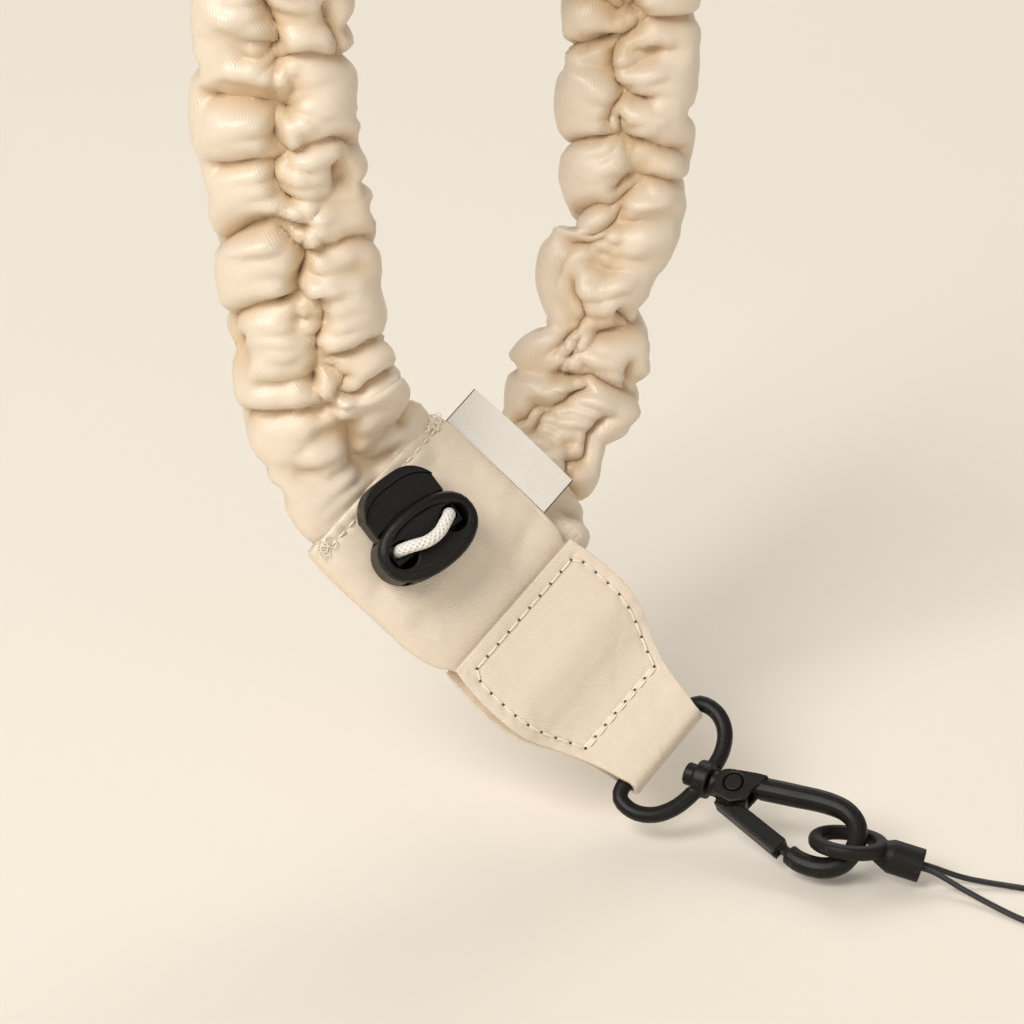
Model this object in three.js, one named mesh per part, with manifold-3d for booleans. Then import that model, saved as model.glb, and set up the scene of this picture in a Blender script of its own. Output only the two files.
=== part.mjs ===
// A ruched satin wrist strap with a cord lock, a swivel snap hook and a thin cord loop.
// Millimetres, +Z up. The origin is the hang point: the inner top of the wrist loop, where a hand or a peg holds it.
// The strap is laid out above the level that its hook rests on, and is lifted to the hang point at the very end.

import * as THREE from "three";
import { mergeVertices } from "three/addons/utils/BufferGeometryUtils.js";
import Module from "manifold-3d";

const wasm = await Module();
wasm.setup();

// ---------- driving dimensions ----------
const GAP = 0.3; // between pieces that touch
const CLOTH = 1; // one cloth wall
const PLY_SHUT = 0.15; // half the gap left between two flattened walls
const DRAWCORD_RADIUS = 1.15;
const PHONE_CORD_RADIUS = 0.525;
const RING_WIRE = 1.5;

// The tab's frame: x along the strap towards the hook, y across it, z out of its front face. Its origin is the ring's bar.
const TAB_ORIGIN = new THREE.Vector3(26.9, -1.6, 15.4);
const TAB_TURN = [60, 14.7, -41.1];

const SHOULDER_WIDTH = 17.4; // half the widest part of the tab
const FOLD_RADIUS = RING_WIRE + 0.45; // inside of the tab's fold, round the ring's bar
const TUCK_END = -25; // how far the panel and the sleeve reach into the tab
const TAB_EDGE = -37.6; // the tab's upper edge
const PANEL_MOUTH = -71;
const SLEEVE_START = -66.5;

const LOCK = { x: -58.5, y: -4.1, turn: -11, length: 20.5, width: 13, height: 8.5, holeRadius: 2.6, holeOffset: 5.7 };
const BUTTON = { halfWidth: 7.6, halfHeight: 2.4, lipHalfHeight: 3.2, outer: -12, lip: -10.4, inner: 1.6, stroke: 3 };
const CORD_IN_LOCK = -1; // the button's spring holds the cord to this side of the cord holes

const RING = { tilt: 27.2, shift: -0.65 }; // turned about its bar, and slid along it
const SWIVEL = { x: 10.95, y: 0.56, z: 0.1, turn: [-1.9, -10.3, 13] };
const COLLAR = { radius: 3.4, halfLength: 1.4, bore: 1.6, seat: 2.85 };
const SHANK = { radius: 1.3, headRadius: 2.15, headStart: -3.65, headEnd: -1.75 };
const RIVET = { x: 6.1, y: 0.4, radius: 0.95, headRadius: 1.6, headHeight: 0.5 };
const CHEEK_THICKNESS = 5;
const GATE_THICKNESS = 3.4;
const KNUCKLE_THICKNESS = 2.5;
const GATE_SWING = 12; // degrees that the gate opens inwards

const LINK_CENTRE = new THREE.Vector3(59.93, -23.61, 7);
const FERRULE_MOUTH = new THREE.Vector3(72.8, -26.5, 3.9);
const LINK = { halfLength: 5.9, halfWidth: 5.2, wire: 1.35, tilt: 0.157 };
const FERRULE = { radius: 3.1, start: 6.2, bore: 1.6, boreDepth: 6 };

// ---------- shared geometry helpers ----------
const radians = THREE.MathUtils.degToRad;
const upZ = new THREE.Vector3(0, 0, 1);

function turned(position, degrees) {
  const turn = new THREE.Euler(...degrees.map(radians));
  return new THREE.Matrix4().makeRotationFromEuler(turn).setPosition(position);
}

// The closed surface through a list of equal loops of points. It joins the last loop to the first when `closed`,
// and otherwise caps both ends.
function skin(loops, closed) {
  const sides = loops[0].length;
  const points = loops.flat();
  const faces = [];
  const rows = closed ? loops.length : loops.length - 1;
  for (let i = 0; i < rows; i++) {
    for (let j = 0; j < sides; j++) {
      const a = i * sides + j;
      const b = i * sides + ((j + 1) % sides);
      const c = ((i + 1) % loops.length) * sides + j;
      const d = ((i + 1) % loops.length) * sides + ((j + 1) % sides);
      faces.push(a, b, d, a, d, c);
    }
  }
  if (!closed) {
    [0, loops.length - 1].forEach((row, end) => {
      const centre = loops[row].reduce((sum, p) => sum.add(p), new THREE.Vector3()).divideScalar(sides);
      const hub = points.push(centre) - 1;
      for (let j = 0; j < sides; j++) {
        const a = row * sides + j;
        const b = row * sides + ((j + 1) % sides);
        faces.push(...(end ? [hub, a, b] : [hub, b, a]));
      }
    });
  }
  return outward(new THREE.BufferGeometry().setFromPoints(points).setIndex(faces));
}

// Turns every face round when the surface encloses a negative volume.
function outward(geometry) {
  const p = geometry.attributes.position;
  const index = geometry.index.array;
  const [a, b, c] = [new THREE.Vector3(), new THREE.Vector3(), new THREE.Vector3()];
  let volume = 0;
  for (let i = 0; i < index.length; i += 3) {
    a.fromBufferAttribute(p, index[i]);
    b.fromBufferAttribute(p, index[i + 1]);
    c.fromBufferAttribute(p, index[i + 2]);
    volume += a.dot(b.cross(c));
  }
  if (volume < 0) geometry.setIndex(Array.from(index).reverse());
  return geometry;
}

// A hollow tube of cloth from its outer and inner loops, open at both ends.
const clothTube = (outer, inner) => skin([...outer, ...inner.toReversed()], true);

function solidOf(geometry, matrix = new THREE.Matrix4()) {
  const bare = geometry.clone().applyMatrix4(matrix);
  bare.deleteAttribute("normal");
  bare.deleteAttribute("uv");
  const merged = mergeVertices(bare, 1e-4);
  return new wasm.Manifold(
    new wasm.Mesh({
      numProp: 3,
      vertProperties: merged.attributes.position.array,
      triVerts: new Uint32Array(merged.index.array),
    }),
  );
}

function geometryOf(solid) {
  const mesh = solid.getMesh();
  return new THREE.BufferGeometry()
    .setAttribute("position", new THREE.BufferAttribute(mesh.vertProperties.slice(), 3))
    .setIndex(new THREE.BufferAttribute(mesh.triVerts.slice(), 1));
}

// A cylinder along x, y or z between two places on that axis.
function rod(axis, radius, from, to, at = [0, 0, 0], sides = 24) {
  const geometry = new THREE.CylinderGeometry(radius, radius, to - from, sides);
  if (axis === "x") geometry.rotateZ(-Math.PI / 2);
  if (axis === "z") geometry.rotateX(Math.PI / 2);
  const middle = (from + to) / 2;
  const along = { x: [middle, 0, 0], y: [0, middle, 0], z: [0, 0, middle] }[axis];
  return geometry.translate(along[0] + at[0], along[1] + at[1], along[2] + at[2]);
}

// A box between its lowest and its highest corner.
function block(low, high) {
  const size = high.map((value, i) => value - low[i]);
  const geometry = new THREE.BoxGeometry(...size);
  return geometry.translate(...high.map((value, i) => (value + low[i]) / 2));
}

// An outline as a plate of the given thickness, centred on z = 0.
function plate(shape, thickness, bevel = 0) {
  const geometry = new THREE.ExtrudeGeometry(shape, {
    depth: thickness - 2 * bevel,
    bevelEnabled: bevel > 0,
    bevelThickness: bevel,
    bevelSize: bevel,
    bevelOffset: -bevel,
    bevelSegments: 2,
    curveSegments: 6,
  });
  return geometry.translate(0, 0, bevel - thickness / 2);
}

const power = (value, exponent) => Math.sign(value) * Math.abs(value) ** exponent;

// A superellipse: round at a roundness of 1, squarer below it.
function oval(halfX, halfY, count, roundness = 1) {
  return Array.from({ length: count }, (_, i) => {
    const angle = (2 * Math.PI * i) / count;
    return new THREE.Vector2(halfX * power(Math.cos(angle), roundness), halfY * power(Math.sin(angle), roundness));
  });
}

// The numbers of a table's rows, read at a curve parameter from 0 at the first row to 1 at the last.
function along(rows, t) {
  const place = Math.min(t * (rows.length - 1), rows.length - 1.0001);
  const row = rows[Math.floor(place)];
  const next = rows[Math.floor(place) + 1];
  const part = place - Math.floor(place);
  const names = Object.keys(row).filter((name) => typeof row[name] === "number");
  return Object.fromEntries(names.map((name) => [name, THREE.MathUtils.lerp(row[name], next[name], part)]));
}

// A wire along a flat curve that lies across `normal`. Its radius may change with the curve's parameter.
function wire(curve, radiusAt, steps, normal, closed, sides = 12) {
  return skin(
    Array.from({ length: closed ? steps : steps + 1 }, (_, i) => {
      const t = curve.getUtoTmapping(i / steps);
      const side = new THREE.Vector3().crossVectors(normal, curve.getTangent(t)).normalize();
      return oval(radiusAt(t), radiusAt(t), sides, 0.85).map((p) =>
        curve.getPoint(t).addScaledVector(side, p.x).addScaledVector(normal, p.y),
      );
    }),
    closed,
  );
}

const satin = () => new THREE.MeshStandardMaterial({ color: 0xe6d5b8, roughness: 0.42, metalness: 0 });
const blackMetal = () => new THREE.MeshStandardMaterial({ color: 0x1c1a18, roughness: 0.5, metalness: 0.6 });
const blackPlastic = () => new THREE.MeshStandardMaterial({ color: 0x1b1917, roughness: 0.6, metalness: 0 });
const whiteCord = () => new THREE.MeshStandardMaterial({ color: 0xe9e4da, roughness: 0.8, metalness: 0 });
const blackCord = () => new THREE.MeshStandardMaterial({ color: 0x15130f, roughness: 0.7, metalness: 0 });
const labelCloth = () => new THREE.MeshStandardMaterial({ color: 0xd3cec4, roughness: 0.75, metalness: 0 });

function piece(name, geometry, material) {
  const mesh = new THREE.Mesh(geometry, material);
  mesh.name = name;
  return mesh;
}

// ---------- frames ----------
const strap = new THREE.Group();
const tabMatrix = turned(TAB_ORIGIN, TAB_TURN);
const tabFrame = new THREE.Group();
tabFrame.name = "tab_frame";
tabFrame.applyMatrix4(tabMatrix);
strap.add(tabFrame);
const onTab = (x, y, z) => new THREE.Vector3(x, y, z).applyMatrix4(tabMatrix);
const acrossTab = new THREE.Vector3(0, 1, 0).transformDirection(tabMatrix);

// ---------- tab: a satin strip folded round the ring's bar ----------
// One ply from its upper edge to the fold: x, height of its middle above the tab's middle, half width.
const TAB_PLY = [
  { x: TAB_EDGE, height: 3.6, half: 16.4 },
  { x: -34, height: 3.35, half: 17 },
  { x: -29, height: 3.25, half: SHOULDER_WIDTH },
  { x: -24, height: 3.25, half: SHOULDER_WIDTH },
  { x: -20, height: 2.3, half: 16.7 },
  { x: -17, height: 1.3, half: 15.4 },
  { x: -14, height: 0.8, half: 14 },
  { x: -10.5, height: 0.7, half: 12.5 },
  { x: -7, height: 1.3, half: 11.4 },
  { x: -4, height: 2, half: 10.6 },
  { x: -1.5, height: 2.3, half: 10 },
];
const FOLD_HALF_WIDTH = 9.5;

function tabStrip() {
  const middleRadius = FOLD_RADIUS + CLOTH / 2;
  const front = TAB_PLY.map((row) => ({ x: row.x, z: row.height, half: row.half }));
  const bend = Array.from({ length: 9 }, (_, i) => {
    const angle = Math.PI / 2 - (Math.PI * i) / 8;
    return { x: middleRadius * Math.cos(angle), z: middleRadius * Math.sin(angle), half: FOLD_HALF_WIDTH };
  });
  const back = front.toReversed().map((row) => ({ ...row, z: -row.z }));
  const line = [...front, ...bend, ...back];
  const loops = line.map((row, i) => {
    const before = line[Math.max(i - 1, 0)];
    const after = line[Math.min(i + 1, line.length - 1)];
    const normal = new THREE.Vector3(before.z - after.z, 0, after.x - before.x).setLength(CLOTH / 2);
    const corner = (side, out) =>
      new THREE.Vector3(row.x + out * normal.x, side * row.half, row.z + out * normal.z);
    return [corner(1, 1), corner(0, 1), corner(-1, 1), corner(-1, -1), corner(0, -1), corner(1, -1)];
  });
  return skin(loops, false);
}
tabFrame.add(piece("tab", tabStrip(), satin()));

// ---------- cord panel: a flat double sleeve, tucked into the tab at one end and open at the other ----------
const PANEL = [
  { x: TUCK_END, y: 0, z: 1.3, half: 14.5, depth: CLOTH + PLY_SHUT },
  { x: TAB_EDGE, y: -0.2, z: 1.3, half: 15.9, depth: CLOTH + PLY_SHUT },
  { x: -40.5, y: -0.6, z: 1.5, half: 17.2, depth: 2 },
  { x: -46, y: -1.1, z: 2, half: 18, depth: 3 },
  { x: -55, y: -1.2, z: 2.3, half: 18.2, depth: 3.3 },
  { x: -64, y: -1.2, z: 2.5, half: 18.2, depth: 3.8 },
  { x: PANEL_MOUTH, y: -1.2, z: 2.7, half: 17.8, depth: 4.3 },
];
const PANEL_SIDES = 28;
const PANEL_ROUNDNESS = 0.8;
const PANEL_TOP = PANEL[5].z + PANEL[5].depth;

function panelLoops(inset) {
  return PANEL.map((row) =>
    oval(row.half - inset, row.depth - inset, PANEL_SIDES, PANEL_ROUNDNESS).map(
      (p) => new THREE.Vector3(row.x, row.y + p.x, row.z + p.y),
    ),
  );
}

const lockMatrix = turned(new THREE.Vector3(LOCK.x, LOCK.y, PANEL_TOP + GAP + LOCK.height / 2), [0, 0, LOCK.turn]);
const onLock = (x, y, z) => new THREE.Vector3(x, y, z).applyMatrix4(lockMatrix);
const cordSides = [-1, 1];
const cordHole = (side) => onLock(CORD_IN_LOCK, side * LOCK.holeOffset, 0);

function cordPanel() {
  let panel = solidOf(clothTube(panelLoops(0), panelLoops(CLOTH)));
  for (const side of cordSides) {
    const hole = cordHole(side);
    panel = panel.subtract(solidOf(rod("z", DRAWCORD_RADIUS + GAP, 3.4, PANEL_TOP + 1, [hole.x, hole.y, 0], 16)));
  }
  return geometryOf(panel);
}
tabFrame.add(piece("cord_panel", cordPanel(), satin()));

// ---------- label: a folded woven strip let into the panel's side seam ----------
const LABEL = { from: -69.2, to: -44.4, seam: 17.5, edge: 25.2, thickness: 1, height: 2.5 };
const labelShape = block(
  [LABEL.from, LABEL.seam, LABEL.height - LABEL.thickness / 2],
  [LABEL.to, LABEL.edge, LABEL.height + LABEL.thickness / 2],
);
tabFrame.add(piece("label", labelShape, labelCloth()));

// ---------- ruched sleeve: a gathered satin tube, one loop from the panel's mouth round to the tab ----------
// half and depth are half the tube's width and thickness; swing turns its width from the tab's (0) to level (1).
const FRONT_END = [
  { x: SLEEVE_START, y: -0.8, z: 2.5, half: 15, depth: 2.5, swing: 0 },
  { x: PANEL_MOUTH, y: -1, z: 2.7, half: 15.4, depth: 2.8, swing: 0 },
];
const FRONT_STRAND = [
  { x: -28.8, y: 7, z: 69.2, half: 15.5, depth: 4.8, swing: 0.25 },
  { x: -31.7, y: 6.5, z: 75.2, half: 15, depth: 7, swing: 0.6 },
  { x: -33.9, y: 6.5, z: 79.9, half: 14.8, depth: 8.5, swing: 0.85 },
  { x: -35.5, y: 6.5, z: 87.1, half: 14.8, depth: 9, swing: 1 },
  { x: -36.6, y: 7, z: 93.8, half: 14.3, depth: 9, swing: 1 },
  { x: -37.1, y: 7, z: 101.2, half: 14.3, depth: 9, swing: 1 },
  { x: -37.4, y: 7.5, z: 109.3, half: 14.5, depth: 9, swing: 1 },
  { x: -38.4, y: 8, z: 116.4, half: 14.3, depth: 9, swing: 1 },
  { x: -39.4, y: 8, z: 122.6, half: 14, depth: 9, swing: 1 },
  { x: -40.9, y: 8, z: 131.5, half: 14.3, depth: 9, swing: 1 },
  { x: -40.8, y: 8.5, z: 138.4, half: 14, depth: 9, swing: 1 },
  { x: -40.6, y: 8.5, z: 145.3, half: 14, depth: 9, swing: 1 },
];
// The arch over the wrist is a half ellipse between the strands; its width turns to lie flat on the wrist at the top.
const ARCH = { left: [-40.9, 8.5], right: [22.3, 50], spring: 158, rise: 39, steps: 8, half: 13.5, depth: 9 };
const BACK_STRAND = [
  { x: 21.9, y: 50, z: 142.5, half: 12.8, depth: 9, swing: 1 },
  { x: 21.9, y: 50, z: 133.2, half: 12.8, depth: 9, swing: 1 },
  { x: 21.2, y: 49, z: 124, half: 12.8, depth: 9, swing: 1 },
  { x: 21.5, y: 48, z: 114.7, half: 12.8, depth: 9, swing: 1 },
  { x: 20.8, y: 47, z: 105.3, half: 12.3, depth: 9, swing: 1 },
  { x: 20.3, y: 45.5, z: 97.9, half: 11.8, depth: 9, swing: 1 },
  { x: 16.9, y: 43.8, z: 90, half: 11.8, depth: 9, swing: 1 },
  { x: 14.6, y: 42.4, z: 80.5, half: 12, depth: 9, swing: 1 },
  { x: 12.5, y: 41.2, z: 74.5, half: 12.8, depth: 9, swing: 1 },
  { x: 11.2, y: 40, z: 68.8, half: 13, depth: 9, swing: 1 },
  { x: 8.8, y: 37.4, z: 62.8, half: 12.5, depth: 8.5, swing: 1 },
  { x: 5.8, y: 32.7, z: 56.5, half: 12, depth: 8.2, swing: 1 },
  { x: 2.8, y: 27.6, z: 52.5, half: 12, depth: 7.8, swing: 0.9 },
];
const BACK_END = [
  { x: -44.6, y: 16, z: -10.3, half: 12.3, depth: 6.4, swing: 0.7 },
  { x: -42.2, y: 10.5, z: -6.8, half: 13, depth: 4.6, swing: 0.4 },
  { x: -40.2, y: 5.5, z: -3.5, half: 14.2, depth: 2.2, swing: 0.12 },
  { x: -38.5, y: 2.8, z: -1.55, half: 14.8, depth: CLOTH + PLY_SHUT, swing: 0 },
  { x: -33, y: 1, z: -1.35, half: 14.8, depth: CLOTH + PLY_SHUT, swing: 0 },
  { x: TUCK_END, y: 0, z: -1.35, half: 14.3, depth: CLOTH + PLY_SHUT, swing: 0 },
];

const levelAcross = new THREE.Vector3(1, 0, 0);
const strandRow = (row) => ({
  at: new THREE.Vector3(row.x, row.y, row.z),
  across: acrossTab.clone().lerp(levelAcross, row.swing).normalize(),
  half: row.half,
  depth: row.depth,
});
const tabRow = (row) => ({ ...strandRow(row), at: onTab(row.x, row.y, row.z) });

function archRows() {
  const left = new THREE.Vector3(...ARCH.left, ARCH.spring);
  const right = new THREE.Vector3(...ARCH.right, ARCH.spring);
  const middle = left.clone().add(right).divideScalar(2);
  const outward = left.clone().sub(middle);
  const overWrist = new THREE.Vector3().crossVectors(upZ, outward).normalize();
  return Array.from({ length: ARCH.steps + 1 }, (_, i) => {
    const angle = (Math.PI * i) / ARCH.steps;
    const at = middle.clone().addScaledVector(outward, Math.cos(angle));
    at.z += ARCH.rise * Math.sin(angle);
    const across = levelAcross.clone().lerp(overWrist, Math.sin(angle)).normalize();
    return { at, across, half: ARCH.half, depth: ARCH.depth };
  });
}

const sleeveRows = [
  ...FRONT_END.map(tabRow),
  ...FRONT_STRAND.map(strandRow),
  ...archRows(),
  ...BACK_STRAND.map(strandRow),
  ...BACK_END.map(tabRow),
];
const sleeveLine = new THREE.CatmullRomCurve3(sleeveRows.map((row) => row.at), false, "centripetal");
sleeveLine.arcLengthDivisions = 800;
const sleeveLength = sleeveLine.getLength();

// Creases between the puffs, in mm along the sleeve, for its left and its right column.
const CREASES = {
  left: [9, 24, 32, 45, 60, 74, 86, 93],
  right: [9, 31, 38, 51, 58, 77, 93],
};
const PUFF_PITCH = 14;

// Depth of the crease at a place along one column: 0 on a puff, 1 in a crease. Past the table the puffs are even.
function crease(length, table) {
  const last = table.at(-1);
  const past = length > last;
  const index = table.findIndex((place) => place > length);
  const from = past ? last + PUFF_PITCH * Math.floor((length - last) / PUFF_PITCH) : (table[index - 1] ?? 0);
  const to = past ? from + PUFF_PITCH : table[index];
  return 1 - Math.abs(Math.sin((Math.PI * (length - from)) / (to - from))) ** 0.6;
}

const SLEEVE_SIDES = 18;
const SLEEVE_STATIONS = 86;
const CREASE_DEPTH = 0.2;
const GATHER_DEPTH = 0.3;
const GATHER_WIDTH = 0.22;

function sleeveStation(share) {
  const t = sleeveLine.getUtoTmapping(share);
  const place = Math.min(t * (sleeveRows.length - 1), sleeveRows.length - 1.0001);
  const tangent = sleeveLine.getTangent(t);
  const across = sleeveRows[Math.floor(place)].across
    .clone()
    .lerp(sleeveRows[Math.floor(place) + 1].across, place - Math.floor(place))
    .normalize();
  return {
    at: sleeveLine.getPoint(t),
    across,
    out: new THREE.Vector3().crossVectors(across, tangent).normalize(),
    ...along(sleeveRows, t),
    length: share * sleeveLength,
  };
}

function sleeveLoops(inset) {
  return Array.from({ length: SLEEVE_STATIONS + 1 }, (_, i) => {
    const station = sleeveStation(i / SLEEVE_STATIONS);
    const full = THREE.MathUtils.smoothstep(station.depth, 2.4, 8); // ruching fades out at the flattened ends
    const left = crease(station.length, CREASES.left);
    const right = crease(station.length, CREASES.right);
    return oval(1, 1, SLEEVE_SIDES).map((p) => {
      const column = 0.5 + 0.5 * Math.tanh(2.5 * p.x);
      const puff = 1 - full * CREASE_DEPTH * THREE.MathUtils.lerp(left, right, column);
      const gather = 1 - full * GATHER_DEPTH * Math.exp(-((p.x / GATHER_WIDTH) ** 2));
      return station.at
        .clone()
        .addScaledVector(station.across, p.x * (station.half * puff - inset))
        .addScaledVector(station.out, power(p.y, 0.8) * (station.depth * puff * gather - inset));
    });
  });
}
strap.add(piece("ruched_sleeve", clothTube(sleeveLoops(0), sleeveLoops(CLOTH)), satin()));

// ---------- cord lock: a bean-shaped body with two cord holes and a sprung button ----------
const lockFrame = new THREE.Group();
lockFrame.name = "button_slide";
lockFrame.applyMatrix4(lockMatrix);
tabFrame.add(lockFrame);

function lockBody() {
  const outline = new THREE.Shape(oval(LOCK.width / 2, LOCK.length / 2, 32, 0.9));
  const cavityReach = BUTTON.inner + BUTTON.stroke + GAP;
  const cavity = [BUTTON.halfWidth + GAP, BUTTON.halfHeight + GAP];
  let body = solidOf(plate(outline, LOCK.height, 1.4));
  body = body.subtract(solidOf(block([-9, -cavity[0], -cavity[1]], [cavityReach, cavity[0], cavity[1]])));
  for (const side of cordSides) {
    body = body.subtract(solidOf(rod("z", LOCK.holeRadius, -6, 6, [0, side * LOCK.holeOffset, 0])));
  }
  const dish = new THREE.Shape(oval(4.4, 8.6, 24));
  const dishPlate = plate(dish, 2).translate(0, 0, LOCK.height / 2 + 0.3);
  return geometryOf(body.subtract(solidOf(dishPlate)));
}

function lockButton() {
  const thumb = new THREE.Shape();
  thumb.moveTo(BUTTON.lip, -BUTTON.halfWidth);
  thumb.lineTo(BUTTON.lip, BUTTON.halfWidth);
  thumb.quadraticCurveTo(BUTTON.outer, BUTTON.halfWidth, BUTTON.outer, BUTTON.halfWidth - 3);
  thumb.lineTo(BUTTON.outer, 3 - BUTTON.halfWidth);
  thumb.quadraticCurveTo(BUTTON.outer, -BUTTON.halfWidth, BUTTON.lip, -BUTTON.halfWidth);
  const tongue = block(
    [BUTTON.lip - 0.5, -BUTTON.halfWidth, -BUTTON.halfHeight],
    [BUTTON.inner, BUTTON.halfWidth, BUTTON.halfHeight],
  );
  let button = solidOf(plate(thumb, 2 * BUTTON.lipHalfHeight)).add(solidOf(tongue));
  const reach = DRAWCORD_RADIUS + GAP;
  for (const side of cordSides) {
    const y = side * LOCK.holeOffset;
    const low = [CORD_IN_LOCK - reach - BUTTON.stroke, y - reach, -5];
    button = button.subtract(solidOf(block(low, [CORD_IN_LOCK + reach, y + reach, 5])));
  }
  return geometryOf(button);
}
lockFrame.add(piece("cord_lock_body", lockBody(), blackPlastic()));
lockFrame.add(piece("cord_lock_button", lockButton(), blackPlastic()));

// ---------- drawcord: up the sleeve, out through the lock and back into the panel ----------
const CORD_END = 0.9; // share of the sleeve at which the cord is sewn down
const CORD_ARC = [
  { x: 0, y: -5.7, z: -3 },
  { x: 0, y: -5.7, z: 0 },
  { x: 0, y: -5.7, z: 2.4 },
  { x: 0.1, y: -5.3, z: 3.7 },
  { x: 0.35, y: -4.5, z: 4.6 },
  { x: 0.8, y: -3.3, z: 5.2 },
  { x: 1.4, y: -1.7, z: 5.5 },
  { x: 1.6, y: 0, z: 5.6 },
];

function drawcordPoints() {
  const turns = 50;
  const inSleeve = Array.from({ length: turns + 1 }, (_, i) => sleeveStation(CORD_END * (1 - i / turns)).at);
  const [lower, upper] = cordSides.map(cordHole);
  const arc = CORD_ARC.map((p) => onLock(CORD_IN_LOCK + p.x, p.y, p.z));
  const farArc = CORD_ARC.toReversed().slice(1).map((p) => onLock(CORD_IN_LOCK + p.x, -p.y, p.z));
  const overLock = [...arc, ...farArc].map((p) => p.applyMatrix4(tabMatrix));
  return [
    ...inSleeve,
    onTab(-63.5, -2.5, 2.5),
    onTab(lower.x - 1.6, lower.y + 2, 2.5),
    onTab(lower.x - 0.3, lower.y + 0.4, 3.3),
    ...overLock,
    onTab(upper.x + 0.3, upper.y - 0.2, 3.3),
    onTab(upper.x + 2, upper.y - 0.9, 2.4),
    onTab(-52, 1.2, 2.2),
    onTab(-47, 0.8, 2),
    onTab(-43, 0.5, 1.8),
  ];
}

// The steps fall on the points, so that the cord's tight bend over the lock gets short ones.
function drawcord() {
  const points = drawcordPoints();
  const path = new THREE.CatmullRomCurve3(points, false, "centripetal");
  path.getUtoTmapping = (u) => u;
  const section = new THREE.Shape(oval(DRAWCORD_RADIUS, DRAWCORD_RADIUS, 8));
  return new THREE.ExtrudeGeometry(section, { steps: points.length - 1, bevelEnabled: false, extrudePath: path });
}
strap.add(piece("drawcord", drawcord(), whiteCord()));

// ---------- swivel ring: a wire D-ring whose bar lies in the tab's fold, with the collar that carries the hook ----------
const ringFrame = new THREE.Group();
ringFrame.name = "ring_hinge";
ringFrame.position.y = RING.shift;
ringFrame.rotation.y = -radians(RING.tilt);
tabFrame.add(ringFrame);

// Half of the ring's centre line, from the middle of the bar round to the collar.
const RING_HALF = [
  { x: 0, y: 0 },
  { x: 0, y: 5 },
  { x: 0, y: 9.9 },
  { x: 0.8, y: 11.6 },
  { x: 2.9, y: 12.3 },
  { x: 5.6, y: 11.9 },
  { x: 8.2, y: 10.1 },
  { x: 10, y: 7.1 },
  { x: 10.8, y: 3.6 },
  { x: 10.95, y: 0 },
];
const swivelMatrix = turned(new THREE.Vector3(SWIVEL.x, SWIVEL.y, SWIVEL.z), SWIVEL.turn);

function swivelRing() {
  const upper = RING_HALF.map((p) => new THREE.Vector3(p.x, p.y, 0));
  const lower = RING_HALF.slice(1, -1).toReversed().map((p) => new THREE.Vector3(p.x, -p.y, 0));
  const line = new THREE.CatmullRomCurve3([...upper, ...lower], true);
  const hoop = solidOf(wire(line, () => RING_WIRE, 56, new THREE.Vector3(0, 0, 1), true));
  const collar = solidOf(rod("x", COLLAR.radius, -COLLAR.halfLength, COLLAR.halfLength), swivelMatrix);
  let ring = hoop.add(collar).subtract(solidOf(rod("x", COLLAR.bore, -4, 4), swivelMatrix));
  ring = ring.subtract(solidOf(rod("x", COLLAR.seat, COLLAR.halfLength, 5), swivelMatrix));
  return geometryOf(ring.subtract(solidOf(rod("x", COLLAR.seat, -5, -COLLAR.halfLength), swivelMatrix)));
}
ringFrame.add(piece("swivel_ring", swivelRing(), blackMetal()));

// ---------- snap hook: shank, rivet cheeks, spine and bow ----------
// Its frame: x along the swivel's axis, y towards the spine, z out of its upper face. Its origin is the collar's middle.
const hookFrame = new THREE.Group();
hookFrame.name = "hook_swivel";
hookFrame.applyMatrix4(swivelMatrix);
ringFrame.add(hookFrame);

const BOW_LINE = [
  { x: 8.4, y: 1.7, half: 2.1 },
  { x: 16, y: 2.8, half: 2.1 },
  { x: 23.5, y: 3.7, half: 2 },
  { x: 27.2, y: 3.3, half: 1.9 },
  { x: 29.8, y: 1.6, half: 1.8 },
  { x: 31.1, y: -1.2, half: 1.75 },
  { x: 31.2, y: -4.2, half: 1.75 },
  { x: 30.2, y: -6.6, half: 1.85 },
  { x: 28.1, y: -8.2, half: 1.9 },
  { x: 25.4, y: -8.8, half: 1.9 },
  { x: 22.8, y: -8.7, half: 1.9 },
  { x: 20.9, y: -8.1, half: 1.85 },
];
const CHEEK = [
  { x: 3, y: -2.9 },
  { x: 7.2, y: -3.5 },
  { x: 9.2, y: -2.2 },
  { x: 10, y: 0.6 },
  { x: 11.5, y: 3.9 },
  { x: 9.4, y: 3.7 },
  { x: 4.2, y: 2.7 },
  { x: 3, y: 2 },
];
const outlineOf = (rows) => new THREE.Shape(rows.map((p) => new THREE.Vector2(p.x, p.y)));
const NOSE = BOW_LINE.at(-1);
const NOSE_LUG = { length: 1.6, halfThickness: 0.65, halfWidth: 0.9 };
const noseDirection = new THREE.Vector2(NOSE.x - BOW_LINE.at(-2).x, NOSE.y - BOW_LINE.at(-2).y).normalize();
const noseTurn = Math.atan2(noseDirection.y, noseDirection.x);
const noseMatrix = new THREE.Matrix4().makeRotationZ(noseTurn).setPosition(NOSE.x, NOSE.y, 0);

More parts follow.
